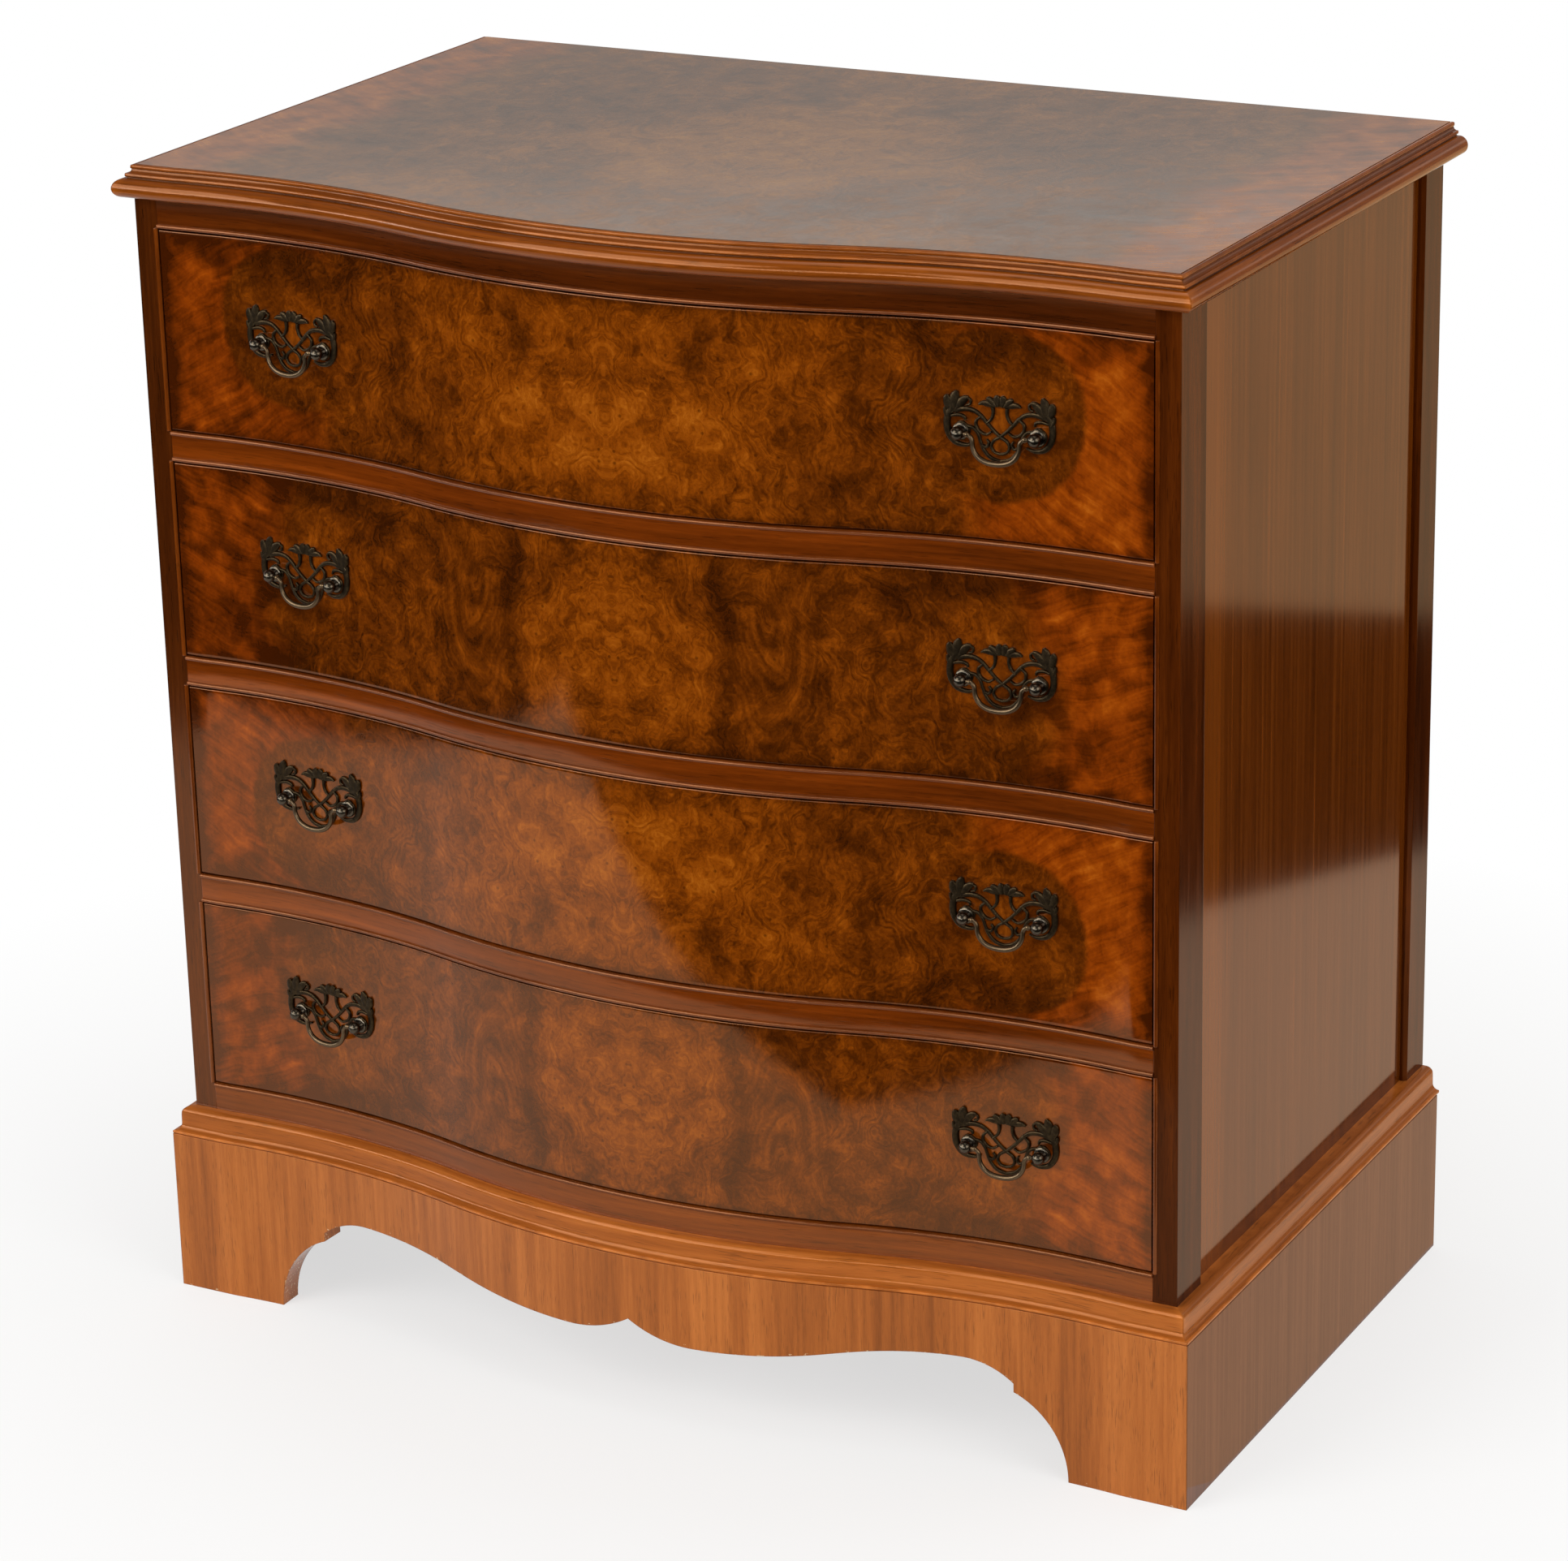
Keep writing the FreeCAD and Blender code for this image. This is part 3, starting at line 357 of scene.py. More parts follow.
def mitred(x: Array, out: Array, half: float) -> Array:
    """Lengthens the flats by as much as out, for corners cut at 45 degrees.

    Args:
        x: Distances from the middle.
        out: How far out each point lies.
        half: Half length at out = 0.

    Returns:
        The lengthened distances.
    """
    stretch = (half + out - BOW.flat_x) / (half - BOW.flat_x)
    beyond = np.abs(x) - BOW.flat_x
    return np.where(beyond > 0, np.sign(x) * (BOW.flat_x + beyond * stretch), x)


def carried(section: Array, half: float, count: int, mitre: bool = False) -> tuple[Array, Array]:
    """Carries a section of (out, z) along the bow, each point along its own offset of the line.

    Args:
        section: Rows of (out, z).
        half: Half length at out = 0.
        count: Places along the bow.
        mitre: Whether the ends lengthen with out.

    Returns:
        Points of shape (n, m, 3), and the wood's own directions (along, around, out) at each.
    """
    out, z = section.T
    x = np.repeat(stations(half, count)[:, None], len(section), axis=1)
    if mitre:
        x = mitred(x, out, half)
    px, py = BOW.at(x, out)
    return vectors(px, py, z), vectors(BOW.run(x), run_along(section), out)


# Finishes


@dataclass
class Graph:
    """A node tree, built from its last node backwards."""

    tree: bpy.types.NodeTree

    def node(self, kind: str, values: Optional[dict[Union[str, int], Value]] = None,
             **settings: Union[str, bool, int]) -> bpy.types.Node:
        """Adds a node, sets its properties, and links or fills the named sockets.

        Args:
            kind: The node's type, as it goes on after ShaderNode.
            values: Numbers, colours or links by socket.
            **settings: The node's own properties.

        Returns:
            The new node.
        """
        made = self.tree.nodes.new(f"ShaderNode{kind}")
        for name, value in settings.items():
            setattr(made, name, value)
        for name, value in (values or {}).items():
            self.feed(made.inputs[name], value)
        return made

    def feed(self, socket: Socket, value: Value) -> None:
        """Links a socket to another one, or sets its number, vector or colour.

        Args:
            socket: The input.
            value: The output that feeds it, or what it is set to.
        """
        if isinstance(value, Socket):
            self.tree.links.new(value, socket)
        elif isinstance(value, tuple) and socket.type == "RGBA" and len(value) == 3:
            socket.default_value = (*value, 1.0)
        else:
            socket.default_value = value

    def math(self, operation: str, a: Value, b: Value = 0.0, clamp: bool = False) -> Socket:
        """One step of arithmetic."""
        return self.node("Math", {0: a, 1: b}, operation=operation, use_clamp=clamp).outputs[0]

    def background_ray(self) -> Socket:
        """1 for rays from the eye and for those that show the background in polish or glass.

        Returns:
            The greatest of the three kinds of ray.
        """
        rays = self.node("LightPath").outputs
        either = self.math("MAXIMUM", rays["Is Camera Ray"], rays["Is Glossy Ray"])
        return self.math("MAXIMUM", either, rays["Is Transmission Ray"])


class Shade(Graph):
    """A material's node tree."""

    def __init__(self, name: str) -> None:
        """Starts a material with one Principled shader.

        Args:
            name: The material's name.
        """
        self.material = bpy.data.materials.new(name)
        self.material.use_nodes = True
        super().__init__(self.material.node_tree)
        self.shader = self.tree.nodes["Principled BSDF"]

    def here(self) -> Socket:
        """Object coordinates, in metres."""
        return self.node("TexCoord").outputs["Object"]

    def figure(self, name: str) -> Socket:
        """A figure kept on the points."""
        return self.node("Attribute", attribute_name=name).outputs["Vector"]

    def split(self, vector: Socket) -> dict[str, Socket]:
        """The parts of a vector by axis."""
        parts = self.node("SeparateXYZ", {"Vector": vector}).outputs
        return {axis: parts[axis] for axis in "XYZ"}

    def vector(self, operation: str, a: Socket, b: Value) -> Socket:
        """One step of vector arithmetic."""
        second = "Scale" if operation == "SCALE" else 1
        return self.node("VectorMath", {0: a, second: b}, operation=operation).outputs[0]

    def place(self, start: Socket, scale: Triple, move: float = 0.0) -> Socket:
        """Coordinates stretched and moved."""
        values = {"Vector": start, "Location": (move, move, move), "Scale": scale}
        return self.node("Mapping", values).outputs["Vector"]

    def noise(self, vector: Socket, scale: float = 1.0, detail: float = 3.0, rough: float = 0.55,
              twist: float = 0.0, flat: bool = False) -> Socket:
        """Fractal noise between 0 and 1, in space or over a flat field."""
        values = {"Vector": vector, "Scale": scale, "Detail": detail, "Roughness": rough, "Distortion": twist}
        return self.node("TexNoise", values, noise_dimensions="2D" if flat else "3D").outputs["Fac"]

    def blend(self, factor: Value, a: Value, b: Value, kind: str = "FLOAT") -> Socket:
        """Number between a and b by the factor."""
        return self.node("Mix", {"Factor": factor, "A": a, "B": b}, data_type=kind).outputs["Result"]

    def mix(self, factor: Value, a: Value, b: Value) -> Socket:
        """Colour between a and b by the factor."""
        return self.blend(factor, a, b, "RGBA")

    def total(self, *layers: tuple[Socket, float]) -> Socket:
        """Sum of values, each times its weight.

        Args:
            *layers: Values with their weights.

        Returns:
            The sum.
        """
        result, *others = [self.math("MULTIPLY", value, weight) for value, weight in layers]
        for other in others:
            result = self.math("ADD", result, other)
        return result

    def fit(self, value: Socket, low: float, high: float, to_low: float = 0.0, to_high: float = 1.0) -> Socket:
        """Maps a range of values to another, without passing its ends."""
        values = {"Value": value, "From Min": low, "From Max": high, "To Min": to_low, "To Max": to_high}
        return self.node("MapRange", values).outputs["Result"]

    def ramp(self, value: Socket, stops: Stops) -> Socket:
        """A run of colours by value.

        Args:
            value: Place along the run, from 0 to 1.
            stops: Places with their colours, in order.

        Returns:
            The colour there, in a straight line between stops.
        """
        made = self.node("ValToRGB", {"Fac": value})
        band = made.color_ramp
        while len(band.elements) < len(stops):
            band.elements.new(0.5)
        for element, (place, colour) in zip(band.elements, stops):
            element.position = place
            element.color = (*colour, 1.0)
        return made.outputs["Color"]

    def bump(self, height: Socket, strength: float, distance: float, normal: Optional[Socket] = None) -> Socket:
        """Small relief on the surface.

        Args:
            height: The relief.
            strength: How strongly it shows.
            distance: Its depth, in metres.
            normal: The normal that it lies on.

        Returns:
            The new normal.
        """
        values = {"Height": height, "Strength": strength, "Distance": distance}
        if normal is not None:
            values["Normal"] = normal
        return self.node("Bump", values).outputs["Normal"]

    def finish(self, **sockets: Value) -> Material:
        """Links or sets the shader's sockets, with underscores for spaces, and gives the material.

        Args:
            **sockets: Numbers, colours or links by socket.

        Returns:
            The material.
        """
        for name, value in sockets.items():
            self.feed(self.shader.inputs[name.replace("_", " ")], value)
        return self.material

    def surface(self, shader: bpy.types.Node) -> Material:
        """Puts another shader in the first one's place, and gives the material."""
        self.feed(self.tree.nodes["Material Output"].inputs["Surface"], shader.outputs[0])
        return self.material


def scaled(colour: Colour, gain: float) -> Colour:
    """A lighter or darker colour."""
    return tuple(gain * value for value in colour)


class Grain(Enum):
    """Which way a board's grain runs: an axis, of the piece's own figure or of space."""

    ALONG = (0, True)
    ACROSS = (1, True)
    X = (0, False)
    Y = (1, False)
    Z = (2, False)


@dataclass(frozen=True)
class StraightWood:
    """Straight-grained wood with open pores, polished or bare.

    The pairs named broad, fine, vessel and cluster are cells of noise for each mm along and across the grain.
    """

    name: str
    dark: Colour
    mid: Colour
    light: Colour
    grain: Grain
    roughness: float = 0.12
    pores: float = 0.6
    rounded: float = 0.9
    carved: bool = False
    chipped: bool = False
    specular: float = 1.0
    vessel: Pair = (0.12, 1.9)
    relief: float = 0.08
    bands: float = 0.50
    sway: float = 1.0
    sap: Optional[Pair] = None
    broad: Pair = (0.0014, 0.035)
    fine: Pair = (0.010, 0.26)
    cluster: Pair = (0.02, 0.10)
    flecks: float = 0.14
    chip: Colour = (0.62, 0.42, 0.24)

    def drawn(self, s: Shade, cells: Pair, move: float = 0.0) -> Socket:
        """Coordinates for noise that is drawn out along the grain.

        Args:
            s: The material's tree.
            cells: Cells of noise for each mm, along and across the grain.
            move: Shift, so that layers differ.

        Returns:
            The coordinates.
        """
        axis, own = self.grain.value
        unit = 1.0 if own else MM
        scale = [cells[1] / unit] * 3
        scale[axis] = cells[0] / unit
        return s.place(s.figure("grain") if own else s.here(), tuple(scale), move)

    def worn_and_shaded(self, s: Shade, wood: Socket) -> Socket:
        """Darkens the hollows of a carved piece with painted shade and rubs its high edges lighter, as wear.

        Args:
            s: The material's tree.
            wood: Colour of the clean wood.

        Returns:
            Colour with painted shade in the hollows and lighter rubbed edges.
        """
        relief = s.node("NewGeometry").outputs["Pointiness"]
        patchy = s.noise(s.here(), 60.0)
        # painted shade: concave places darken towards the dark wood colour, where shade falls in the hollows
        hollow_shade = s.fit(relief, 0.495, 0.43, 0.0, 0.9)
        rub = s.math("MULTIPLY", s.fit(relief, 0.515, 0.60), s.fit(patchy, 0.40, 0.65, 0.1, 0.7))
        return s.mix(rub, s.mix(hollow_shade, wood, self.dark), scaled(self.light, 1.35))

    def chips(self, s: Shade, wood: Socket) -> Socket:
        """Shows small pale breaks where the veneer's lower edge has been knocked.

        Args:
            s: The material's tree.
            wood: Colour of the whole veneer.

        Returns:
            Colour with the breaks.
        """
        above = s.split(s.figure("rim"))["X"]
        ragged = s.noise(s.place(s.figure("grain"), (0.25, 0.5, 0.5)))
        reach = s.fit(ragged, 0.60, 0.74, -0.2, 3.2)
        return s.mix(s.fit(s.math("SUBTRACT", reach, above), 0.0, 0.5), wood, self.chip)

    def material(self) -> Material:
        """Broad bands, fine streaks and dark pores drawn out along the grain under a thin polish.

        Returns:
            The material.
        """
        s = Shade(self.name)
        along, across = self.fine
        broad = s.noise(self.drawn(s, self.broad), twist=0.6 * self.sway)
        fine = s.noise(self.drawn(s, (along * self.sway, across)), detail=5.0, rough=0.62, twist=0.3 * self.sway)
        fleck = s.noise(self.drawn(s, self.vessel, 5.0), detail=2.0, rough=0.5)
        cluster = s.noise(self.drawn(s, self.cluster, 9.0), detail=2.0)
        tone = s.total((broad, self.bands), (fine, 1.0 - self.flecks - self.bands), (fleck, self.flecks))
        wood = s.ramp(tone, [(0.34, self.dark), (0.50, self.mid), (0.68, self.light)])
        opened = s.math("ADD", fleck, s.math("MULTIPLY", s.math("SUBTRACT", cluster, 0.5), 0.35))
        pore = s.fit(opened, 0.585, 0.70, 0.0, self.pores)
        wood = s.mix(pore, wood, scaled(self.dark, 0.45))
        if self.sap:
            front, back = self.sap
            wood = s.mix(s.fit(s.split(s.here())["Y"], back, front, 0.0, 0.5), wood, scaled(self.light, 1.15))
        # carved pieces get painted shade in their hollows and wear on their high edges
        if self.carved:
            wood = self.worn_and_shaded(s, wood)
        if self.chipped:
            wood = self.chips(s, wood)
        edge = s.node("Bevel", {"Radius": self.rounded * MM}, samples=4).outputs["Normal"]
        gloss = s.fit(fine, 0.25, 0.75, self.roughness * 0.8, self.roughness * 1.25)
        relief = s.bump(pore, self.relief, -0.0003, edge)
        return s.finish(Base_Color=wood, Roughness=gloss, Normal=relief, Specular_IOR_Level=self.specular,
                        Specular_Tint=POLISH)


@dataclass(frozen=True)
class BurrVeneer:
    """Bookmatched burr: flecks and curling lines in the middle, feathered streaks towards the ends."""

    name: str
    roughness: float = 0.07
    contrast: float = 1.0
    specular: float = 1.0
    gain: Colour = (1.0, 1.0, 1.0)
    warmth: float = 1.0
    wood: Stops = (
        (0.05, (0.030, 0.0060, 0.0004)), (0.25, (0.064, 0.0129, 0.0005)), (0.42, (0.122, 0.0249, 0.0009)),
        (0.58, (0.205, 0.0439, 0.0015)), (0.74, (0.290, 0.0705, 0.0032)), (0.95, (0.410, 0.1204, 0.0081)))
    flame: Stops = (
        (0.05, (0.045, 0.0077, 0.0004)), (0.25, (0.105, 0.0172, 0.0005)), (0.42, (0.180, 0.0292, 0.0009)),
        (0.58, (0.262, 0.0464, 0.0015)), (0.74, (0.345, 0.0731, 0.0032)), (0.95, (0.470, 0.1247, 0.0090)))

    def run(self, s: Shade, value: Socket, stops: Stops, lift: float = 1.0) -> Socket:
        """One of the two runs of colour, each colour times the gain and the lift."""
        return s.ramp(value, [(place, tuple(lift * g * c for g, c in zip(self.gain, colour)))
                              for place, colour in stops])

    def weighted(self, s: Shade, *layers: tuple[Socket, float]) -> Socket:
        """Sum of each layer's distance from its middle, times its weight."""
        return s.total(*((s.math("SUBTRACT", value, 0.5), weight * self.contrast) for value, weight in layers))

    def material(self) -> Material:
        """Lines, flecks and streaks read from the leaf's own fields, toned by its clouds, under clear polish.

        Returns:
            The material.
        """
        s = Shade(self.name)
        fields = {name: s.figure(name) for name in ("leaf", "flow", "feather", "tone")}
        split = {name: s.split(value) for name, value in fields.items()}
        warp = s.node("TexNoise", {"Vector": fields["leaf"], "Scale": 0.1, "Detail": 2.0}, noise_dimensions="2D")
        warp = s.vector("SCALE", s.vector("SUBTRACT", warp.outputs["Color"], (0.5, 0.5, 0.5)), 13.0)

        def drawn(name: str, cells: Pair, detail: float = 3.0, rough: float = 0.55, sway: float = 1.0) -> Socket:
            """Noise along one of the fields, in cells for each mm, after small random shifts."""
            shifted = s.vector("ADD", fields[name], s.vector("SCALE", warp, sway))
            return s.noise(s.place(shifted, (*cells, 0.0)), detail=detail, rough=rough, flat=True)

        lines = drawn("flow", (0.20, 0.032), rough=0.5)
        hairs = drawn("flow", (0.75, 0.07))
        flecks = drawn("flow", (0.17, 0.08), sway=0.7)
        mottle = drawn("leaf", (0.048, 0.042), 4.0, 0.6)
        specks = drawn("leaf", (0.50, 0.42), 4.0, 0.6, 0.4)
        streaks = drawn("feather", (0.14, 0.011), sway=0.12)
        fine = drawn("feather", (0.55, 0.026), sway=0.12)
        curl = drawn("feather", (0.040, 0.045), sway=0.3)
        rings = s.node("CombineXYZ", {"X": s.math("MULTIPLY", split["leaf"]["Z"], 0.30),
                                      "Y": s.math("MULTIPLY", split["leaf"]["X"], 0.015)}).outputs[0]
        arches = s.noise(rings, rough=0.5, flat=True)
        body = self.weighted(s, (lines, 0.30), (hairs, 0.27), (flecks, 0.42), (mottle, 0.66), (specks, 0.34))
        arch = self.weighted(s, (arches, 0.70), (flecks, 0.25), (hairs, 0.2), (mottle, 0.5), (specks, 0.25))
        ends = self.weighted(s, (streaks, 0.44), (fine, 0.24), (curl, 0.50), (mottle, 0.80), (specks, 0.18))
        figure = s.blend(split["flow"]["Z"], body, arch)
        figure = s.blend(split["feather"]["Z"], figure, ends)
        dark, flame, gold = split["tone"].values()
        figure = s.math("ADD", figure, s.math("MULTIPLY", gold, 0.19))
        # dark holds the figure's dark patches and the painted shade at the edges and on the left leaf's ends
        figure = s.math("SUBTRACT", s.math("ADD", figure, 0.47), s.math("MULTIPLY", dark, 0.27))
        wood = s.mix(flame, self.run(s, figure, self.wood), self.run(s, figure, self.flame, self.warmth))
        pins = s.node("TexVoronoi", {"Vector": fields["leaf"], "Scale": 0.055}, voronoi_dimensions="2D").outputs
        chosen = s.math("GREATER_THAN", s.split(pins["Color"])["X"], 0.62)
        pin = s.math("MULTIPLY", s.fit(pins["Distance"], 0.035, 0.075, 0.55, 0.0), chosen)
        pin = s.math("MULTIPLY", pin, s.fit(split["feather"]["Z"], 0.0, 0.5, 1.0, 0.0))
        wood = s.mix(pin, wood, self.wood[0][1])
        gloss = s.fit(mottle, 0.3, 0.7, self.roughness * 0.8, self.roughness * 1.3)
        relief = s.bump(hairs, 0.035, 0.0002)
        return s.finish(Base_Color=wood, Roughness=gloss, Normal=relief, Specular_IOR_Level=self.specular,
                        Specular_Tint=POLISH)


@dataclass(frozen=True)
class Brass:
    """Cast brass, darkened by age and rubbed bright where it is touched."""

    name: str
    tarnish: Colour
    metal: Colour
    bright: float
    roughness: float
    pitting: float = 0.25
    patchy: float = 0.5

    def material(self) -> Material:
        """Tarnish in patches, thinner on edges and high places.

        Returns:
            The material.
        """
        s = Shade(self.name)
        spots = s.noise(s.here(), 420.0, 5.0, 0.62, 0.4)
        high = s.fit(s.node("NewGeometry").outputs["Pointiness"], 0.47, 0.56)
        rubbed = s.math("ADD", s.math("MULTIPLY", high, 0.5), s.fit(spots, 0.42, 0.68, 0.0, self.patchy))
        rubbed = s.math("MULTIPLY", rubbed, self.bright, True)
        colour = s.mix(rubbed, self.tarnish, self.metal)
        gloss = s.fit(rubbed, 0.0, 1.0, self.roughness * 1.5, self.roughness)
        relief = s.bump(spots, self.pitting, 0.0003)
        return s.finish(Base_Color=colour, Roughness=gloss, Normal=relief, Metallic=1.0)


# Pieces


Spot = tuple[float, float, float, float, float]


@dataclass(frozen=True)
class Leaf:
    """Features of one veneer leaf, from the middle of its foot, as ovals of (along, up, reach, reach, strength)."""

    seed: int
    dark: Sequence[Spot]
    gold: Sequence[Spot]
    arches: Sequence[Spot]
    slope: float
    disc: Optional[Spot] = None
    shelf: Optional[Spot] = None
    eyes: int = 34
    flame_from: float = FLAME_FROM
    # painted shade on the ends of the left leaf
    left_end_shade: float = 0.22
    # painted shade towards the edges of the front, and how far in it reaches
    rim: float = 0.0
    half: float = FRONT_HALF
    edge_shade_reach: float = 4.0


@dataclass
class Veneer:
    """A leaf laid on a board together with its mirror image, one way up or the other."""

    leaf: Leaf
    height: float
    turned: bool = False

    def spots(self, u: Array, v: Array, places: Sequence[Spot]) -> Array:
        """Sum of soft ovals: strength times the bell curve of the distance in reaches.

        Args:
            u: Distance from the leaf's middle.
            v: Distance from its foot.
            places: The ovals.

        Returns:
            The sum at each point.
        """
        total = np.zeros_like(u)
        for x, y, rx, ry, strength in places:
            total += strength * np.exp(-((u - x) / rx) ** 2 - ((v - y) / ry) ** 2)
        return total

    def curled(self, flow: Array, u: Array, v: Array) -> Array:
        """Adds bell-shaped bumps to a flow, whose level lines then curl round each as grain does round an eye.

        Args:
            flow: The flow without eyes.
            u: Distance from the leaf's middle.
            v: Distance from its foot.

        Returns:
            The flow with eyes.
        """
        rng = np.random.default_rng(self.leaf.seed)
        spans = ((0, 235), (-8, self.height + 8), (6, 16), (-1.1, 1.1))
        for x, y, size, lift in zip(*[rng.uniform(*span, self.leaf.eyes) for span in spans]):
            flow = flow + lift * size * np.exp(-((u - x) ** 2 + (v - y) ** 2) / (2 * size ** 2))
        return flow

    def arched(self, u: Array, v: Array, wander: Array, drift: Array) -> tuple[Array, Array]:
        """How strongly arches show, and the distance from their knot, by ovals of equal distance.

        Args:
            u: Distance from the leaf's middle.
            v: Distance from its foot.
            wander: Soft noise that moves points along.
            drift: Soft noise that moves points up.

        Returns:
            Strengths from 0 to 1, and distances in mm.
        """
        rings, arch = np.zeros_like(u), np.zeros_like(u)
        for x, y, rx, ry, strength in self.leaf.arches:
            q = np.hypot((u + 12 * wander - x) / rx, (v + 12 * drift - y) / ry)
            lower = smooth_step(0.8, -0.5, (v - y) / ry)
            rings = np.maximum(rings, lower * strength * np.exp(-np.maximum(q - 0.9, 0) ** 2 / 0.12))
            arch = np.where(q < 1.9, q * min(rx, ry), arch)
        return rings, arch

    def figures(self, along: Array, up: Array) -> dict[str, Array]:
        """Works out the leaf's fields at each point.

        The flow is a slanting plane with bumps. The feather is a plane that rises outwards, waved by a sine. The
        tone darkens towards the leaf's edges as exp(-distance / reach), as painted shade, and on the left leaf's
        ends, also as painted shade. The disc is an oval with a firm edge, and the shelf a dark field that ends along
        a level line.

        Args:
            along: Distance from the middle, either way.
            up: Distance from the lower edge.

        Returns:
            Vectors named leaf, flow, feather and tone.
        """
        leaf = self.leaf
        u, v = np.abs(along), self.height - up if self.turned else up
        wander = clouds(u / 55, v / 55, leaf.seed)
        drift = clouds(u / 34 + 31, v / 34 + 17, leaf.seed + 40)
        wu, wv = u + 15 * wander, v + 15 * drift
        flow = self.curled(wu + 0.25 * wv + 30 * drift, wu, wv)
        rings, arch = self.arched(u, v, wander, drift)
        feather = v - leaf.slope * (u - 300) + 2 * np.sin(u / 23.0) + 5 * drift + 6 * wander
        ends = smooth_step(228, 292, u + 34 * drift + FLAME_FROM - leaf.flame_from)
        flame = smooth_step(leaf.flame_from, leaf.flame_from + 42, u + 24 * wander + 14 * drift)
        dark = self.spots(wu, wv, leaf.dark) + 0.45 * wander
        if leaf.disc:
            x, y, rx, ry, strength = leaf.disc
            q = np.hypot((u + 5 * wander - x) / rx, (v + 5 * drift - y) / ry)
            inside = 1 - smooth_step(0.95, 1.04, q)
            beyond = smooth_step(212, 252, u + 12 * wander)
            flame = np.maximum(flame, beyond) * (1 - inside)
            ends = 0.3 * ends * inside + np.maximum(ends, beyond) * (1 - inside)
            dark += strength * inside * smooth_step(0.2, 1.0, q) * smooth_step(190, 240, u)
        if leaf.shelf:
            x, y, rx, ry, strength = leaf.shelf
            inner = smooth_step(x - rx - 8, x - rx + 8, u + 10 * wander)
            outer = smooth_step(x + rx + 3, x + rx - 3, u + 4 * drift)
            dark += strength * (inner * outer) * smooth_step(y + ry + 18, y + ry - 22, v + 10 * wander)
        # painted shade: the left leaf's ends are darker, standing in for light falling differently on its mirrored
        # fibres
        dark += np.where(along < 0, leaf.left_end_shade * ends, 0.0)
        # painted shade: darker near the edges of the front, where it meets the rails and stiles
        inwards = np.minimum(np.minimum(up, self.height - up), leaf.half - u)
        dark += leaf.rim * np.exp(-np.maximum(inwards, 0.0) / leaf.edge_shade_reach)
        offset = 37.0 * leaf.seed
        return {"leaf": vectors(u + offset, v, arch),
                "flow": vectors(flow + offset, wv - 0.25 * wu, rings),
                "feather": vectors(feather + offset, wu + leaf.slope * wv, ends),
                "tone": vectors(dark, flame, self.spots(wu, wv, leaf.gold))}


@dataclass
class DrawerFront:
    """One drawer's bowed, veneered front."""

    number: int
    low: float
    high: float
    veneer: Veneer
    half: float = FRONT_HALF
    thickness: float = FRONT_THICK
    edge: float = 0.7
    rows: int = 84
    places: int = 420

    def build(self, finish: Material) -> None:
        """Carries the board's section along the bow, with a fine grid over the veneered face.

        Args:
            finish: The piece's material.
        """
        section = rounded_box(self.low, self.high, -self.thickness, 0.0, self.edge, self.rows)
        grid, grain = carried(section, self.half, self.places)
        figures = self.veneer.figures(grain[..., 0], grid[..., 2] - self.low)
        piece = Shell().add(grid, {"grain": grain, **figures}).mesh(f"drawer_{self.number}_veneered_front")
        settle(piece, finish, f"drawer_{self.number}", [f"drawer_{self.number}_front"])


@dataclass
class BowedRails:
    """The rails between the drawers, with a round bead along each edge beside a drawer."""

    levels: dict[str, Pair]
    openings: Sequence[Pair]
    half: float = 350.0
    depth: float = 55.0
    lip: float = 1.0
    edge: float = 0.25
    bead_width: float = 3.0
    bead_height: float = 1.5

    def build_rails(self, finish: Material, others: dict[str, Material]) -> None:
        """Carries each rail's section along the bow and draws its back edge straight.

        Args:
            finish: Finish of most rails.
            others: Darker and lighter copies of the rail finish, with painted shadow and painted light, by node.
        """
        for node, (low, high) in self.levels.items():
            grid, grain = carried(rounded_box(low, high, -self.lip, 0.0, self.edge), self.half, PLACES)
            grid[grain[..., 2] < -0.6 * self.lip, 1] = self.depth + BOW.shift
            piece = Shell().add(grid, {"grain": grain}).mesh(f"polished_{node}")
            settle(piece, others.get(node, finish), "carcase", [node])

    def bead_section(self, count: int = 9) -> Array:
        """Section of a bead in (across, out): one arc over a flat foot.

        Args:
            count: Points along the arc.

        Returns:
            Rows of (across, out).
        """
        half, rise = self.bead_width / 2, self.bead_height
        radius = (half ** 2 + rise ** 2) / (2 * rise)
        across = np.linspace(-half, half, count)
        return np.column_stack([across, np.sqrt(radius ** 2 - across ** 2) - radius + rise])

    def build_beads(self, finish: Material) -> None:
        """Carries the bead along each drawer opening's edges, and up the stiles beside it.

        Args:
            finish: The piece's material.
        """
        shell = Shell()
        across, rise = self.bead_section().T
        reach = self.bead_width / 2
        for low, high in self.openings:
            for middle in (low - reach, high + reach):
                grid, grain = carried(np.column_stack([rise, across + middle]), self.half, PLACES)
                shell.add(grid, {"grain": grain})
            z = np.linspace(low, high, 12)[:, None]
            for side in SIDES:
                x, y = side * (self.half + reach) + across, BOW.shift - rise
                shell.add(vectors(x, y, z), {"grain": vectors(z, x, y)})
        settle(shell.mesh("round_beads"), finish, "carcase", ["drawer_beads"])


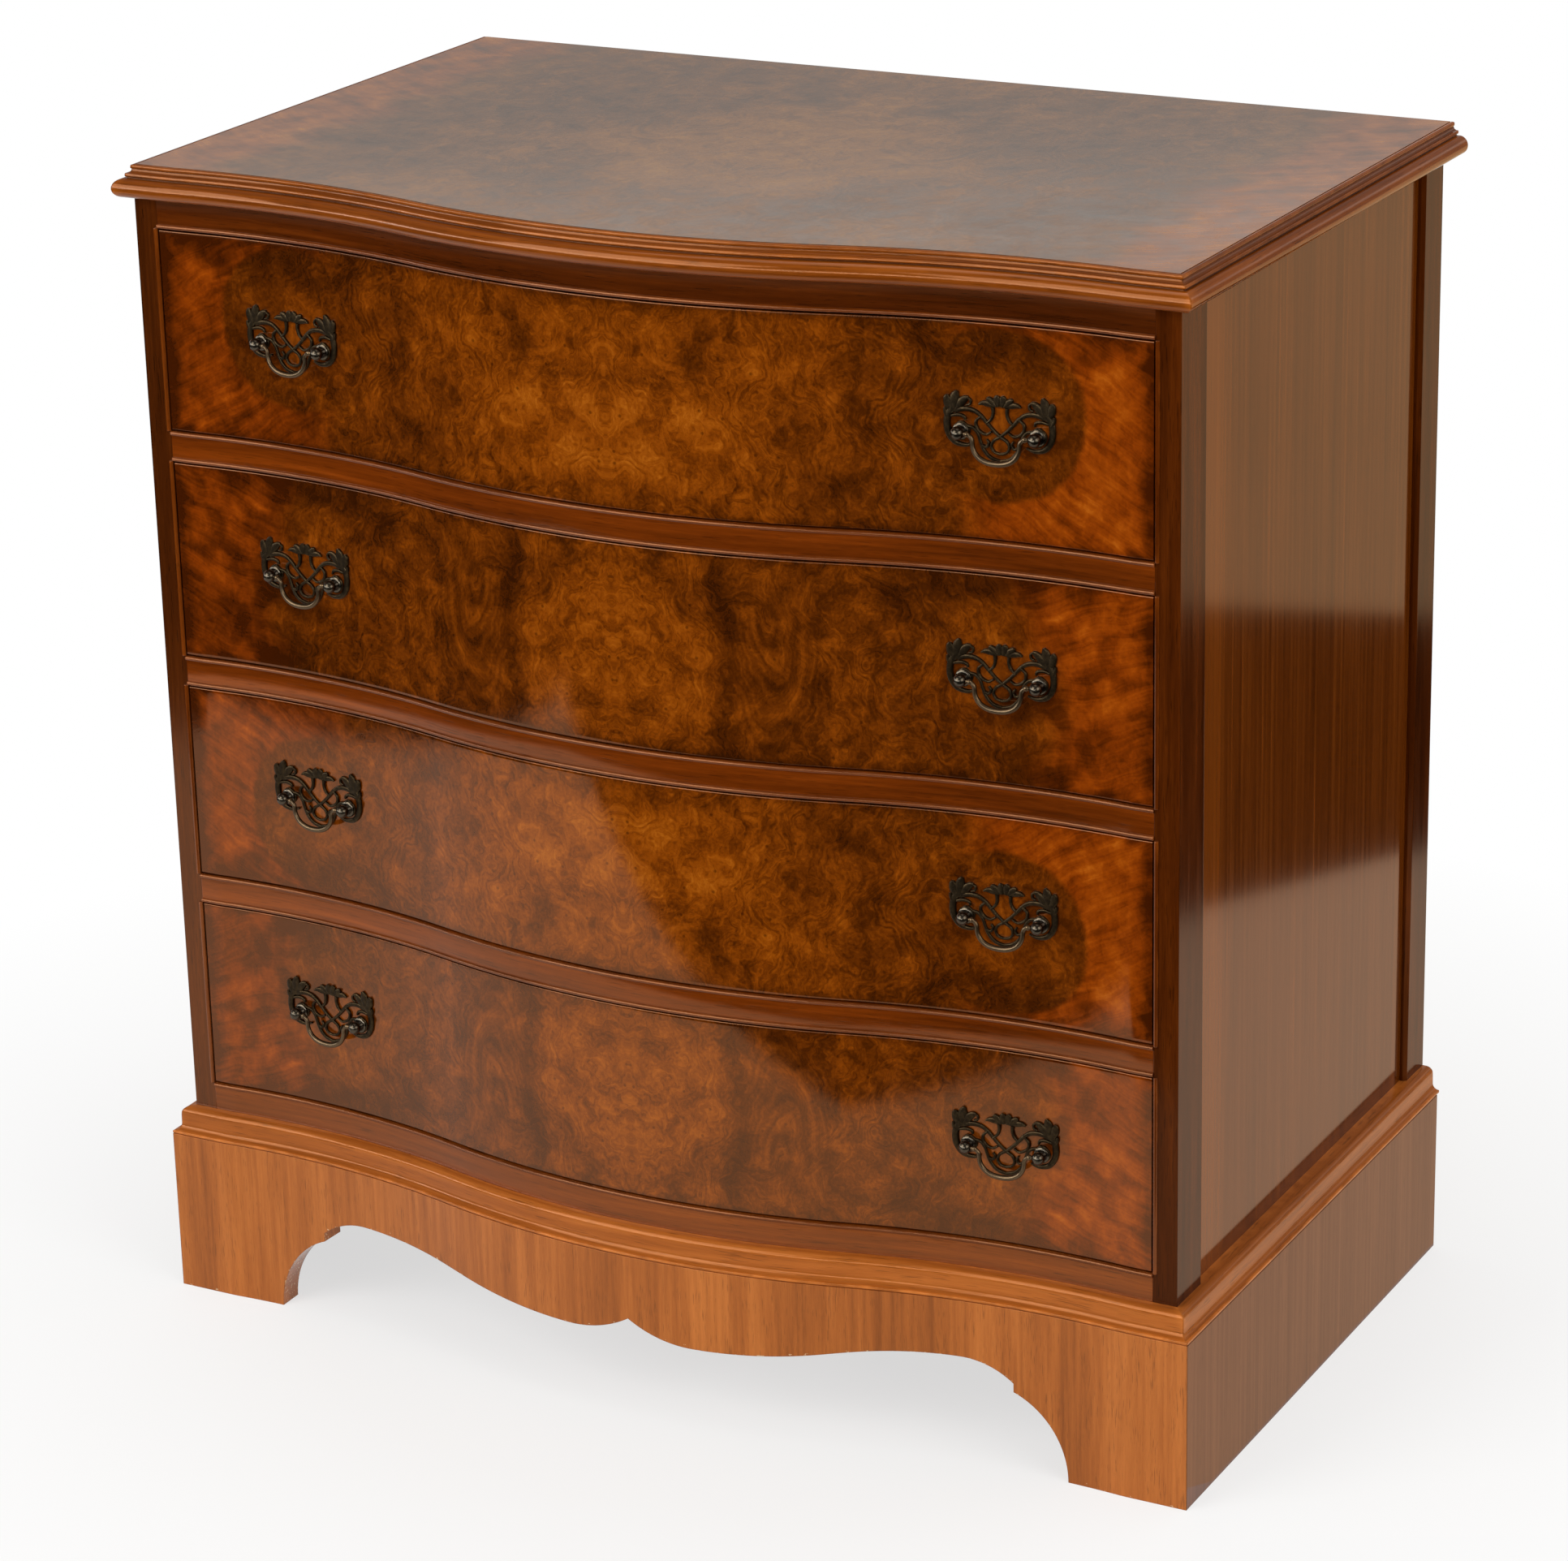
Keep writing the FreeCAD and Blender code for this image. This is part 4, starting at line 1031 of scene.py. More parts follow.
@dataclass
class Moulding:
    """A moulding along the front and both sides, mitred at the corners."""

    name: str
    section: Array
    half: float
    inset: float
    back: float
    tuck: float = 0.0
    places: int = 40
    grain_shift: float = 900.0

    def build(self, finish: Material) -> None:
        """Carries the section along the front, then straight along each side to the back, tucked in to the panel.

        Args:
            finish: The piece's material.
        """
        shifted = self.section - np.array([self.inset, 0.0])
        grid, grain = carried(shifted, self.half + self.inset, PLACES, mitre=True)
        front = Shell().add(grid, {"grain": grain})
        out, z = self.section.T
        start = self.inset - out
        y = start + (self.back - start) * np.linspace(0, 1, self.places)[:, None]
        reach = np.where(out > 0.05, out, -self.tuck)
        sides = Shell()
        for side in SIDES:
            grain = vectors(y + self.grain_shift * side, run_along(self.section), out)
            sides.add(vectors(side * (self.half + reach), y + BOW.shift, z), {"grain": grain})
        for shell, run, node in ((front, "front_run", "front_moulding"), (sides, "side_runs", "side_mouldings")):
            settle(shell.mesh(f"{self.name}_{run}"), finish, "carcase", [f"{self.name}_{node}"])


def top_section() -> Array:
    """Top moulding in (out, z) from the board's edge: half-round nose, quirk, fillet, cove, fillet and a joint.

    Returns:
        Rows of (out, z), closed by the face against the board.
    """
    points = [(0, 0), (6.3, 0)] + turn(-90, 80, (6.3, 6.2), 6.2, 17)
    points += [(5.4, 12.35), (4.7, 12.5), (4.7, 13.2), (5.5, 13.4), (5.8, 13.7), (5.8, 15.2), (5.5, 15.6)]
    points += turn(-90, -180, (5.0, 18.2), 2.6, 9)
    points += [(2.8, 18.4), (3.0, 18.7), (3.0, 20.2), (2.6, 20.7), (1.9, 20.9), (0.8, 20.9), (0.6, 20.2), (0.0, 20.2)]
    return np.array(points) + np.array([0.0, TOP_LOW])


def base_section() -> Array:
    """Base moulding in (out, z) from the stile's face: chamfered lip, cove, tall flat and a quarter oval.

    Returns:
        Rows of (out, z), closed by the face against the stile.
    """
    points = [(0, 0), (11.7, 0), (12.5, 0.7), (12.5, 2.0), (12.2, 2.3)] + turn(-90, -180, (12.2, 6.7), 4.4, 9)
    points += [(7.7, 13.2), (7.6, 14.4)]
    points += [(2.4 + 5.2 * out, 14.4 + 4.4 * rise) for out, rise in turn(0, 90, (0, 0), 1.0, 11)[1:]] + [(0, 19.0)]
    return np.array(points) + np.array([0.0, PLINTH_HIGH])


@dataclass
class PlinthFront:
    """The plinth's bowed front with bracket feet and a shaped apron."""

    half: float = PLINTH_HALF
    front: float = 12.5
    back: float = -5.5
    height: float = PLINTH_HIGH
    foot: float = 297.0
    arch: float = 60.0
    step: float = 56.0
    bracket: float = 6.0
    reach: float = 37.0
    crest: float = 75.0
    lobe: Pair = (45.0, 56.5)
    cusp: float = 69.5

    @property
    def step_x(self) -> float:
        """Place of the bracket's step, where it leaves the arch."""
        return self.foot - self.arch + math.sqrt(self.arch ** 2 - self.step ** 2)

    def underside(self, x: Array) -> Array:
        """Height of the lower edge at x: arch, bracket step, crest, ogee sweep, lobe and cusp in turn.

        Args:
            x: Distances from the middle, in mm.

        Returns:
            Heights above the floor, each part an arc.
        """
        u = np.abs(x)
        arch_x, crest_x = self.foot - self.arch, self.step_x - self.reach
        lobe_x, lobe_z = self.lobe
        drop = self.crest - self.step - self.bracket
        crest_r = (self.reach ** 2 + drop ** 2) / (2 * drop)
        sweep, rise = crest_x - lobe_x, self.crest - lobe_z
        sweep_r = (sweep ** 2 + rise ** 2) / (4 * rise)
        lift = self.cusp - lobe_z
        lobe_r = (lobe_x ** 2 + lift ** 2) / (2 * lift)

        def arc(radius: float, centre: float) -> Array:
            """Height of a circle's upper half above its centre."""
            return np.sqrt(np.maximum(radius ** 2 - (u - centre) ** 2, 0.0))

        return np.select(
            [u >= self.foot, u > self.step_x, u > crest_x, u > lobe_x + sweep / 2, u > lobe_x],
            [np.zeros_like(u), arc(self.arch, arch_x), self.crest - crest_r + arc(crest_r, crest_x),
             self.crest - sweep_r + arc(sweep_r, crest_x), lobe_z + sweep_r - arc(sweep_r, lobe_x)],
            lobe_z + lobe_r - arc(lobe_r, lobe_x))

    def columns(self) -> Array:
        """Places along the front, close together at the steps and round the arches.

        Returns:
            Distances from the middle, in order.
        """
        step, hair = self.step_x, 0.01
        arch = self.foot - self.arch + self.arch * np.sin(np.linspace(0.37, np.pi / 2, 40))
        right = np.concatenate([np.linspace(0, step - hair, PLACES), [step + hair], arch[arch > step + 0.5],
                                [self.foot + hair], np.linspace(self.foot + 2, self.half, 24)])
        return np.concatenate([-right[:0:-1], right])

    def build(self, finish: Material) -> None:
        """Carries a closed section along the bow, with its lower edge following the apron.

        Args:
            finish: The piece's material.
        """
        rows, rear = np.linspace(0, 1, 22), np.linspace(1, 0, 6)
        out = np.repeat([self.front, self.back], [len(rows), len(rear)])
        x = np.repeat(self.columns()[:, None], len(out), axis=1)
        low = self.underside(x)
        z = low + (self.height - low) * np.concatenate([rows, rear])
        laid = mitred(x, out, self.half)
        px, py = BOW.at(laid, out)
        figures = {"grain": vectors(BOW.run(laid), z, out), "rim": vectors(z - low, out, 0.0)}
        piece = Shell().add(vectors(px, py, z), figures).mesh("bracket_plinth_front")
        settle(piece, finish, "carcase", ["plinth_front"])


@dataclass
class TopBoard:
    """The veneered top, bowed in front."""

    veneer: Veneer
    half: float = TOP_HALF
    inset: float = TOP_INSET
    low: float = TOP_LOW
    high: float = 790.0
    back: float = TOP_BACK
    leaf_foot: float = -40.0
    columns: int = 260
    rows: int = 150

    def build(self, finish: Material) -> None:
        """Spans a grid from the bowed front edge to the straight back, closed by a skirt and an underside.

        Args:
            finish: The piece's material.
        """
        px, front = BOW.at(stations(self.half, self.columns)[:, None], -self.inset)
        y = front + (self.back + BOW.shift - front) * np.linspace(0, 1, self.rows)
        top = vectors(np.clip(px, -self.half, self.half), y, self.high)
        under = top[:, ::1 - self.rows].copy()
        under[..., 2] = self.low
        grid = np.concatenate([top, under], axis=1)
        along, up = grid[..., 0], grid[..., 1] - BOW.shift
        figures = {"grain": vectors(along, up, grid[..., 2]), **self.veneer.figures(along, up - self.leaf_foot)}
        settle(Shell().add(grid, figures).mesh("veneered_top"), finish, "carcase", ["top_board"])


@dataclass
class Handle:
    """One pierced plate with its two posts and swan-neck bail, set square to the hollow of a drawer front."""

    drawer: int
    side: int
    middle: float
    inset: float = 250.0
    seat_gap: float = 0.3
    plate: float = 1.6
    spread: float = 24.5
    standoff: float = 8.5
    ball: float = 4.2
    bail_half: float = 15.0
    bend: float = 4.5
    drop: float = 12.4
    pin: float = 20.2
    oblong: float = 0.88
    bar: Triple = (1.35, 0.45, 0.75)
    collar: float = 5.0

    STRAPS: ClassVar[Sequence[Sequence[Triple]]] = (
        # boss under the post, as (x, z, width)
        ((24.5, -5.8, 3.0), (24.5, -3.2, 8.8), (24.5, 0.0, 11.2), (24.5, 3.2, 8.8), (24.5, 5.8, 3.0)),
        # outer bar of the wing, from its foot round the post and up to the leaf
        ((16.8, -7.4, 1.2), (22.4, -8.9, 2.5), (28.8, -7.2, 3.4), (32.6, -2.0, 4.0), (33.6, 4.0, 4.2),
         (32.6, 9.5, 4.2), (30.0, 14.0, 4.6)),
        # three lobes of the wing's leaf
        ((30.2, 10.5, 2.6), (32.4, 15.2, 5.4), (33.4, 19.0, 4.6), (33.3, 21.4, 1.8)),
        ((29.4, 11.0, 2.8), (29.0, 17.0, 6.2), (28.2, 21.4, 5.2), (27.2, 24.2, 1.8)),
        ((28.4, 11.5, 2.8), (25.4, 16.4, 5.2), (22.4, 19.4, 4.4), (19.8, 20.8, 1.6)),
        # scroll and spur under the leaf
        ((31.5, 8.4, 1.6), (26.8, 9.4, 2.1), (23.0, 8.6, 2.0), (21.9, 6.4, 1.4)),
        ((33.0, 7.6, 2.2), (34.5, 10.6, 2.4), (34.9, 13.4, 1.4)),
        # side loop between the strap and the tie, and the scroll below it
        ((12.2, 9.6, 1.4), (15.2, 6.4, 1.9), (14.9, 2.6, 1.9), (12.2, -0.2, 1.8), (8.6, -1.2, 1.6),
         (5.4, 0.6, 1.3)),
        ((11.7, -8.0, 1.5), (8.8, -8.9, 1.8), (7.3, -6.4, 1.6), (8.6, -4.2, 1.2)),
        # curl inside the leaf
        ((20.6, 20.8, 0.9), (18.6, 19.0, 1.5), (18.9, 16.6, 1.6), (21.2, 15.8, 1.3)),
        # strap that sweeps in from the leaf, crosses under the stem and rounds the middle ring
        ((28.5, 12.0, 3.2), (22.5, 13.4, 3.0), (17.0, 12.8, 2.8), (12.6, 10.2, 2.5), (8.8, 6.2, 2.3),
         (4.6, 1.8, 2.1), (0.0, -2.0, 2.0), (-4.2, -4.8, 1.9), (-5.7, -8.4, 1.8), (-3.9, -11.6, 1.7),
         (0.0, -12.8, 1.6)),
        # inner tie from the post to the lower rim
        ((21.5, 2.8, 2.2), (17.2, 2.0, 2.0), (14.2, -1.4, 1.9), (12.6, -6.0, 1.9), (10.2, -11.4, 2.1),
         (6.0, -15.6, 2.3), (0.0, -17.6, 2.5)),
        # stem up to the cap
        ((8.6, 5.6, 1.4), (5.6, 8.4, 1.9), (4.4, 12.0, 2.0), (4.6, 15.8, 2.4)),
        # lobes of the fan-shaped cap
        ((1.2, 16.4, 2.8), (1.8, 19.0, 4.8), (1.8, 21.6, 4.2), (1.5, 23.2, 1.8)),
        ((2.8, 16.4, 2.8), (5.2, 18.8, 4.6), (7.2, 20.5, 3.6), (8.4, 21.2, 1.5)),
        ((3.8, 16.6, 2.4), (7.8, 17.7, 3.8), (11.0, 17.9, 2.8), (13.4, 17.0, 1.0)),
    )

    @property
    def tilt(self) -> float:
        """Turn about Z that sets the handle square to the hollow."""
        return self.side * math.asin((BOW.hollow_x - self.inset) / BOW.radius)

    def world(self, local: Array) -> Array:
        """Turns and moves local points, with y inwards from the drawer's face.

        Args:
            local: Points from the middle between the posts.

        Returns:
            The points in the chest's frame.
        """
        depth, _ = BOW.line(np.array(self.inset))
        c, s = math.cos(self.tilt), math.sin(self.tilt)
        x, y, z = np.moveaxis(local, -1, 0)
        return vectors(self.side * self.inset + c * x - s * y, float(depth) + BOW.shift + s * x + c * y,
                       self.middle + z)

    def strap(self, points: Sequence[Triple], mirror: int, thickness: float) -> Array:
        """Carries a low domed section along a spline on the plate, bent to the hollow.

        Args:
            points: Knots of (x, z, width).
            mirror: 1, or -1 for the other half.
            thickness: Height of the dome.

        Returns:
            Closed grid of points.
        """
        path = spline(points, 12 * len(points)) * np.array([mirror, 1.0, 1.0])
        step = np.gradient(path[:, :2], axis=0)
        step /= np.linalg.norm(step, axis=1, keepdims=True)
        lateral = np.array([-1.0, -1.0, -0.8, -0.4, 0.0, 0.4, 0.8, 1.0, 1.0])
        height = np.array([0.0, 0.5, 0.84, 0.97, 1.0, 0.97, 0.84, 0.5, 0.0]) * thickness
        reach = lateral[None, :] * path[:, 2:3] / 2
        x = path[:, 0:1] - step[:, 1:2] * reach
        z = path[:, 1:2] + step[:, 0:1] * reach
        y = np.sqrt((BOW.radius - self.seat_gap - height[None, :]) ** 2 - x ** 2) - BOW.radius
        return vectors(x, y, z)

    def add_plate(self, shell: Shell) -> None:
        """Adds every strap of the pierced plate and its mirror, at slightly different heights where they cross.

        Args:
            shell: Where the straps go.
        """
        for index, points in enumerate(self.STRAPS):
            for mirror in (1, -1):
                shell.add(self.world(self.strap(points, mirror, self.plate - 0.06 * (index % 6))))

    def lathe(self, profile: Sequence[Pair], x: float, sides: int) -> Array:
        """Turns a profile of (radius, y) round the post's axis.

        Args:
            profile: Pairs of (radius, y).
            x: Place of the axis.
            sides: Points around.

        Returns:
            Closed grid of points.
        """
        angle = np.linspace(0, 2 * np.pi, sides, endpoint=False)
        r, y = np.array(profile).T[..., None]
        return vectors(x + r * np.cos(angle), y, r * np.sin(angle))

    def add_posts(self, shell: Shell) -> None:
        """Adds both turned posts, from the nut inside the drawer to the ball.

        Args:
            shell: Where the posts go.
        """
        near, far = BOW.radius - self.seat_gap - self.plate, BOW.radius + FRONT_THICK
        seat = math.sqrt(near ** 2 - (self.spread + self.collar) ** 2) - BOW.radius
        inside = math.sqrt(far ** 2 - (self.spread - self.collar) ** 2) - BOW.radius + 0.05
        turned = [(r, inside + y) for r, y in ((0.05, 5.0), (1.8, 4.8), (2.0, 4.0))]
        turned += [(r, seat - y) for r, y in ((2.0, 0.0), (self.collar, 0.0), (self.collar, 0.5), (4.5, 0.9),
                                              (3.7, 1.05), (3.5, 1.5))]
        turned += [(self.ball * math.sin(a), -self.standoff - self.ball * math.cos(a))
                   for a in np.radians(np.linspace(138, 0.4, 14))]
        nut = [(r, inside + y) for r, y in ((2.1, 0.0), (5.0, 0.0), (5.0, 2.6), (4.5, 3.0), (2.1, 3.0))]
        for end in SIDES:
            shell.add(self.world(self.lathe(turned, end * self.spread, 28)))
            shell.add(self.world(self.lathe(nut, end * self.spread, 6)), capped=False)

    def bail_path(self) -> tuple[Array, Array]:
        """Centre line of the bail in (x, z) and its bar's radius.

        Each half is a pin, a small quarter bend, and a quarter of a rounded oblong, whose x is the half width times
        a power of the cosine and whose fall is the drop times the same power of the sine. The bar swells towards
        its middle as a squared sine, and at its pins as a bell curve.

        Returns:
            Points along the bail, and the radius at each.
        """
        half, bend = self.bail_half, self.bend
        angle = np.linspace(0, np.pi / 2, 40)[1:]
        oblong = np.column_stack([half * np.cos(angle) ** self.oblong,
                                  -bend - self.drop * np.sin(angle) ** self.oblong])
        corner = turn(90, 180, (half + bend, -bend), bend, 9)[1:]
        right = np.vstack([[(self.pin, 0.0), (half + bend, 0.0)], corner, oblong])
        path = np.vstack([right, right[-2::-1] * np.array([-1, 1])])
        run = run_along(path)
        fine = np.linspace(0, run[-1], 90)
        share = fine / run[-1]
        end = np.minimum(share, 1 - share)
        thin, swell, ring = self.bar
        radius = thin + swell * np.sin(np.pi * share) ** 2 + ring * np.exp(-((end - 0.03) / 0.012) ** 2)
        return np.column_stack([np.interp(fine, run, path[:, k]) for k in range(2)]), radius

    def build_bail(self, finish: Material) -> None:
        """Carries a round section of changing size along the bail's centre line.

        Args:
            finish: The piece's material.
        """
        path, radius = self.bail_path()
        step = np.gradient(path, axis=0)
        step /= np.linalg.norm(step, axis=1, keepdims=True)
        angle = np.linspace(0, 2 * np.pi, 16, endpoint=False)
        spread = radius[:, None] * np.cos(angle)
        grid = vectors(path[:, 0:1] - step[:, 1:2] * spread, -self.standoff + radius[:, None] * np.sin(angle),
                       path[:, 1:2] + step[:, 0:1] * spread)
        name = f"drawer_{self.drawer}_{'left' if self.side < 0 else 'right'}"
        piece = Shell().add(self.world(grid)).mesh(f"{name}_swan_neck", 60)
        settle(piece, finish, f"{name}_bail", [f"{name}_bail"])


@dataclass
class DrawerHandles:
    """The pair of handles on one drawer."""

    number: int
    middle: float

    def build(self, plate: Material, post: Material, bar: Material) -> None:
        """Builds plates and posts as one piece each, and both bails.

        Args:
            plate: Finish of the plates.
            post: Finish of the posts.
            bar: Finish of the bails.
        """
        plates, posts = Shell(), Shell()
        for side in SIDES:
            handle = Handle(self.number, side, self.middle)
            handle.add_plate(plates)
            handle.add_posts(posts)
            handle.build_bail(bar)
        body = f"drawer_{self.number}"
        settle(plates.mesh(f"{body}_pierced_plates", 50), plate, body, [f"{body}_backplates"])
        settle(posts.mesh(f"{body}_turned_posts", 50), post, body, [f"{body}_handle_posts"])


@dataclass
class PlainBoards:
    """CAD boards that keep their own shape and get a finish by the way their grain runs."""

    finish: StraightWood
    nodes: Sequence[str]

    def dress(self) -> None:
        """Puts the finish on each board."""
        material = self.finish.material()
        for name in self.nodes:
            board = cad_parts[name]
            board.data.materials.clear()
            board.data.materials.append(material)
            log.info("%s: %s", name, self.finish.name)


@dataclass(frozen=True)
class Lamp:
    """A large soft square lamp, in metres and watts."""

    name: str
    place: Triple
    aim: Triple
    size: float
    power: float

    def hang(self) -> None:
        """Puts the lamp at its place, facing its aim."""
        data = bpy.data.lights.new(self.name, "AREA")
        data.size = self.size
        data.energy = self.power
        lamp = bpy.data.objects.new(self.name, data)
        lamp.location = self.place
        lamp.rotation_mode = "QUATERNION"
        lamp.rotation_quaternion = (Vector(self.aim) - Vector(self.place)).to_track_quat("-Z", "Y")
        bpy.context.scene.collection.objects.link(lamp)


def oblong(left: float, right: float, far: float, near: float) -> tuple[Pair, ...]:
    """Corners of an oblong, in order round it."""
    return (left, far), (right, far), (right, near), (left, near)


@dataclass
class Studio:
    """The camera at the photograph's place, a pale floor, soft lamps and the room that polish shows.

    Angles are in degrees, and the camera's distance and target in mm. The room's sizes are in metres, to the
    right of the view and towards it.
    """

    azimuth: float = 28.53
    elevation: float = 20.02
    roll: float = -1.38
    distance: float = 3339.0
    target: Triple = (-9.25, 5.2, 357.95)
    lens: float = 114.2
    sensor: float = 36.0
    sight: float = 50.0
    sky: Colour = (1.0, 0.985, 0.96)
    sky_strength: float = 0.42
    floor_colour: Colour = (0.86, 0.85, 0.83)
    floor_half: float = 7.0
    paper: Pair = (-1.45, 1.005)
    paper_front: float = 0.725
    gap_back: float = -1.41
    gap_side: float = 3.13
    room_half: float = 4.5
    room_near: float = 4.3
    left_back: float = -3.0
    right_back: float = -4.0
    glow_left: Pair = (0.1, 0.26)
    glow_near: float = 0.40
    seam: float = 0.005
    sheet_level: float = 0.002
    wall: float = 4.6
    ceiling: float = 3.2
    window: float = 4.4
    window_span: Pair = (-165.0, -70.0)
    window_levels: Pair = (0.95, 1.5)
    window_strength: float = 13.0
    lamps: Sequence[Lamp] = (
        Lamp("key", (-1.5, -2.9, 2.3), (0.0, 0.0, 0.3), 2.2, 72.0),
        Lamp("fill", (2.7, -1.2, 1.7), (0.0, 0.0, 0.35), 1.8, 34.0),
        Lamp("over", (0.2, 0.4, 3.0), (0.0, 0.0, 0.5), 2.4, 26.0))

    def build(self) -> None:
        """Sets up the view, the world, the floor and the lamps."""
        bpy.context.scene.view_settings.view_transform = "Standard"
        self.camera()
        self.world()
        self.floor()
        self.room()
        for lamp in self.lamps:
            lamp.hang()

    def camera(self) -> None:
        """Looks back along the stated bearing, with a small roll."""
        azimuth, elevation, roll = (math.radians(v) for v in (self.azimuth, self.elevation, self.roll))
        back = Vector((math.sin(azimuth) * math.cos(elevation), -math.cos(azimuth) * math.cos(elevation),
                       math.sin(elevation)))
        right = (-back).cross(Vector((0, 0, 1))).normalized()
        up = right.cross(-back)
        side = right * math.cos(roll) + up * math.sin(roll)
        top = up * math.cos(roll) - right * math.sin(roll)
        data = bpy.data.cameras.new("camera")
        data.lens = self.lens
        data.sensor_width = self.sensor
        data.clip_end = self.sight
        camera = bpy.data.objects.new("camera", data)
        turned = Matrix((side, top, back)).transposed().to_4x4()
        turned.translation = (Vector(self.target) + back * self.distance) * MM
        camera.matrix_world = turned
        bpy.context.scene.collection.objects.link(camera)
        bpy.context.scene.camera = camera

    def world(self) -> None:
        """Even pale surroundings, white to the eye and in polish, and softer as light."""
        world = bpy.data.worlds.new("studio")
        world.use_nodes = True
        bpy.context.scene.world = world
        g = Graph(world.node_tree)
        sky = g.tree.nodes["Background"]
        g.feed(sky.inputs["Color"], self.sky)
        g.feed(sky.inputs["Strength"], self.sky_strength)
        seen = g.node("Background", {"Color": (1.0, 1.0, 1.0)})
        mix = g.node("MixShader", {0: g.background_ray(), 1: sky.outputs[0], 2: seen.outputs[0]})
        g.feed(g.tree.nodes["World Output"].inputs["Surface"], mix.outputs[0])

    def staged(self, name: str, grid: Array, material: Material) -> Piece:
        """An open stage piece from a grid in metres.

        Args:
            name: The piece's name.
            grid: Points of shape (n, m, 3).
            material: Its finish.

        Returns:
            The piece.
        """
        piece = Shell().add(grid / MM, closed=False).mesh(name)
        piece.data.materials.append(material)
        return piece

    def sheet(self, name: str, corners: Sequence[Pair], z: float, material: Material) -> Piece:
        """A flat stage sheet: four corners, blended both ways.

        Args:
            name: The sheet's name.
            corners: Its corners in order round the sheet.
            z: Its level.
            material: Its finish.

        Returns:
            The sheet.
        """
        t = np.linspace(0, 1, 3)
        one, two = t[:, None, None], t[None, :, None]
        a, b, c, d = (np.array(corner) for corner in corners)
        right, near = np.moveaxis((a * (1 - one) + b * one) * (1 - two) + (d * (1 - one) + c * one) * two, -1, 0)
        cos, sin = math.cos(math.radians(self.azimuth)), math.sin(math.radians(self.azimuth))
        return self.staged(name, vectors(right * cos + near * sin, right * sin - near * cos, z), material)

    def curved(self, name: str, radius: Array, angle: Array, height: Array, material: Material) -> Piece:
        """A stage sheet bent round the chest, by radius, angle and height."""
        return self.staged(name, vectors(radius * np.cos(angle), radius * np.sin(angle), height), material)

    def polish_only(self, piece: Piece) -> None:
        """Leaves a stage piece to be seen in polished surfaces alone."""
        for ray in ("camera", "diffuse", "shadow", "transmission", "volume_scatter"):
            setattr(piece, f"visible_{ray}", False)

    def drifting(self, s: Shade, low: Colour, high: Colour) -> Socket:
        """A colour that drifts slowly between two."""
        return s.ramp(s.noise(s.here(), 0.8, 2.0), [(0.3, low), (0.7, high)])

    def lit(self, name: str, low: Colour, high: Colour, strength: float = 1.0) -> Material:
        """A lit surface whose colour drifts between two."""
        s = Shade(name)
        return s.surface(s.node("Emission", {"Color": self.drifting(s, low, high), "Strength": strength}))

    def dark_boards(self) -> Material:
        """Dark matt boards.

        Returns:
            The material.
        """
        s = Shade("room_floor")
        tone = s.ramp(s.noise(s.here(), 3.0, 2.0), [(0.3, (0.006, 0.005, 0.004)), (0.7, (0.012, 0.010, 0.009))])
        return s.finish(Base_Color=tone, Roughness=0.8, Specular_IOR_Level=0.0)

    def walls(self) -> Material:
        """Grey walls with a paler band, by height, and a dim ceiling.

        Returns:
            The material.
        """
        s = Shade("room_wall")
        tone = s.ramp(s.fit(s.split(s.here())["Z"], 1.4, 3.2), [
            (0.0, (0.12, 0.12, 0.12)), (0.06, (0.52, 0.52, 0.51)), (0.19, (0.53, 0.53, 0.52)),
            (0.26, (0.63, 0.62, 0.60)), (0.31, (1.16, 1.18, 1.14)), (0.47, (0.25, 0.25, 0.25)),
            (1.0, (0.12, 0.12, 0.12))])
        patches = self.drifting(s, (0.4, 0.4, 0.4), (0.9, 0.9, 0.9))
        return s.surface(s.node("Emission", {"Color": s.mix(0.08, tone, patches)}))

    def floor(self) -> None:
        """Pale floor that keeps the shadow near the chest and fades to white for the eye further out."""
        s = Shade("pale_floor")
        far = s.node("VectorMath", {0: s.here()}, operation="LENGTH").outputs["Value"]
        s.finish(Base_Color=self.floor_colour, Roughness=0.9)
        glow = s.node("Emission", {"Color": (1.0, 1.0, 1.0)})
        seen = s.math("MULTIPLY", s.background_ray(), s.fit(far, 0.35, 0.95, 0.66, 1.0))
        s.surface(s.node("MixShader", {0: seen, 1: s.shader.outputs[0], 2: glow.outputs[0]}))
        half = self.floor_half
        self.sheet("pale_floor", oblong(-half, half, -half, half), 0.0, s.material)

    def room(self) -> None:
        """Dark room floor round the pale paper, lit sheets beside it, walls and a window, that only polish sees.

        The walls are a cylinder and the ceiling the disc that closes it. The window is a band of a cylinder.
        """
        (left, right), near, far, wide = self.paper, self.paper_front, self.gap_back, self.gap_side
        half, past = self.room_half, right + self.seam
        (glow, spread), end = self.glow_left, self.glow_near
        dark = self.dark_boards()
        amber = self.lit("room_aside", (0.68, 0.49, 0.28), (0.77, 0.56, 0.33))
        paper = self.lit("warm_paper", (0.92, 0.70, 0.50), (0.98, 0.75, 0.54))
        for name, material, corners in (
                ("room_front", dark, oblong(-half, half, near, self.room_near)),
                ("room_left", dark, oblong(-half, left, self.left_back, near)),
                ("room_right", dark, ((right, far), (past, far), (wide, near), (right, near))),
                ("room_behind", amber, oblong(right, half, self.right_back, far)),
                ("room_beside", amber, ((past, far), (half, far), (half, near), (wide, near))),
                ("paper_beside", paper, ((glow, far), (right, far), (right, end), (spread, end)))):
            self.polish_only(self.sheet(name, corners, self.sheet_level, material))
        angle, share = np.meshgrid(np.linspace(0, 2 * np.pi, 49), np.linspace(0, 1, 5), indexing="ij")
        radius = self.wall * np.minimum(1.0, 2.0 - 2.0 * share)
        height = self.ceiling * np.minimum(2.0 * share, 1.0)
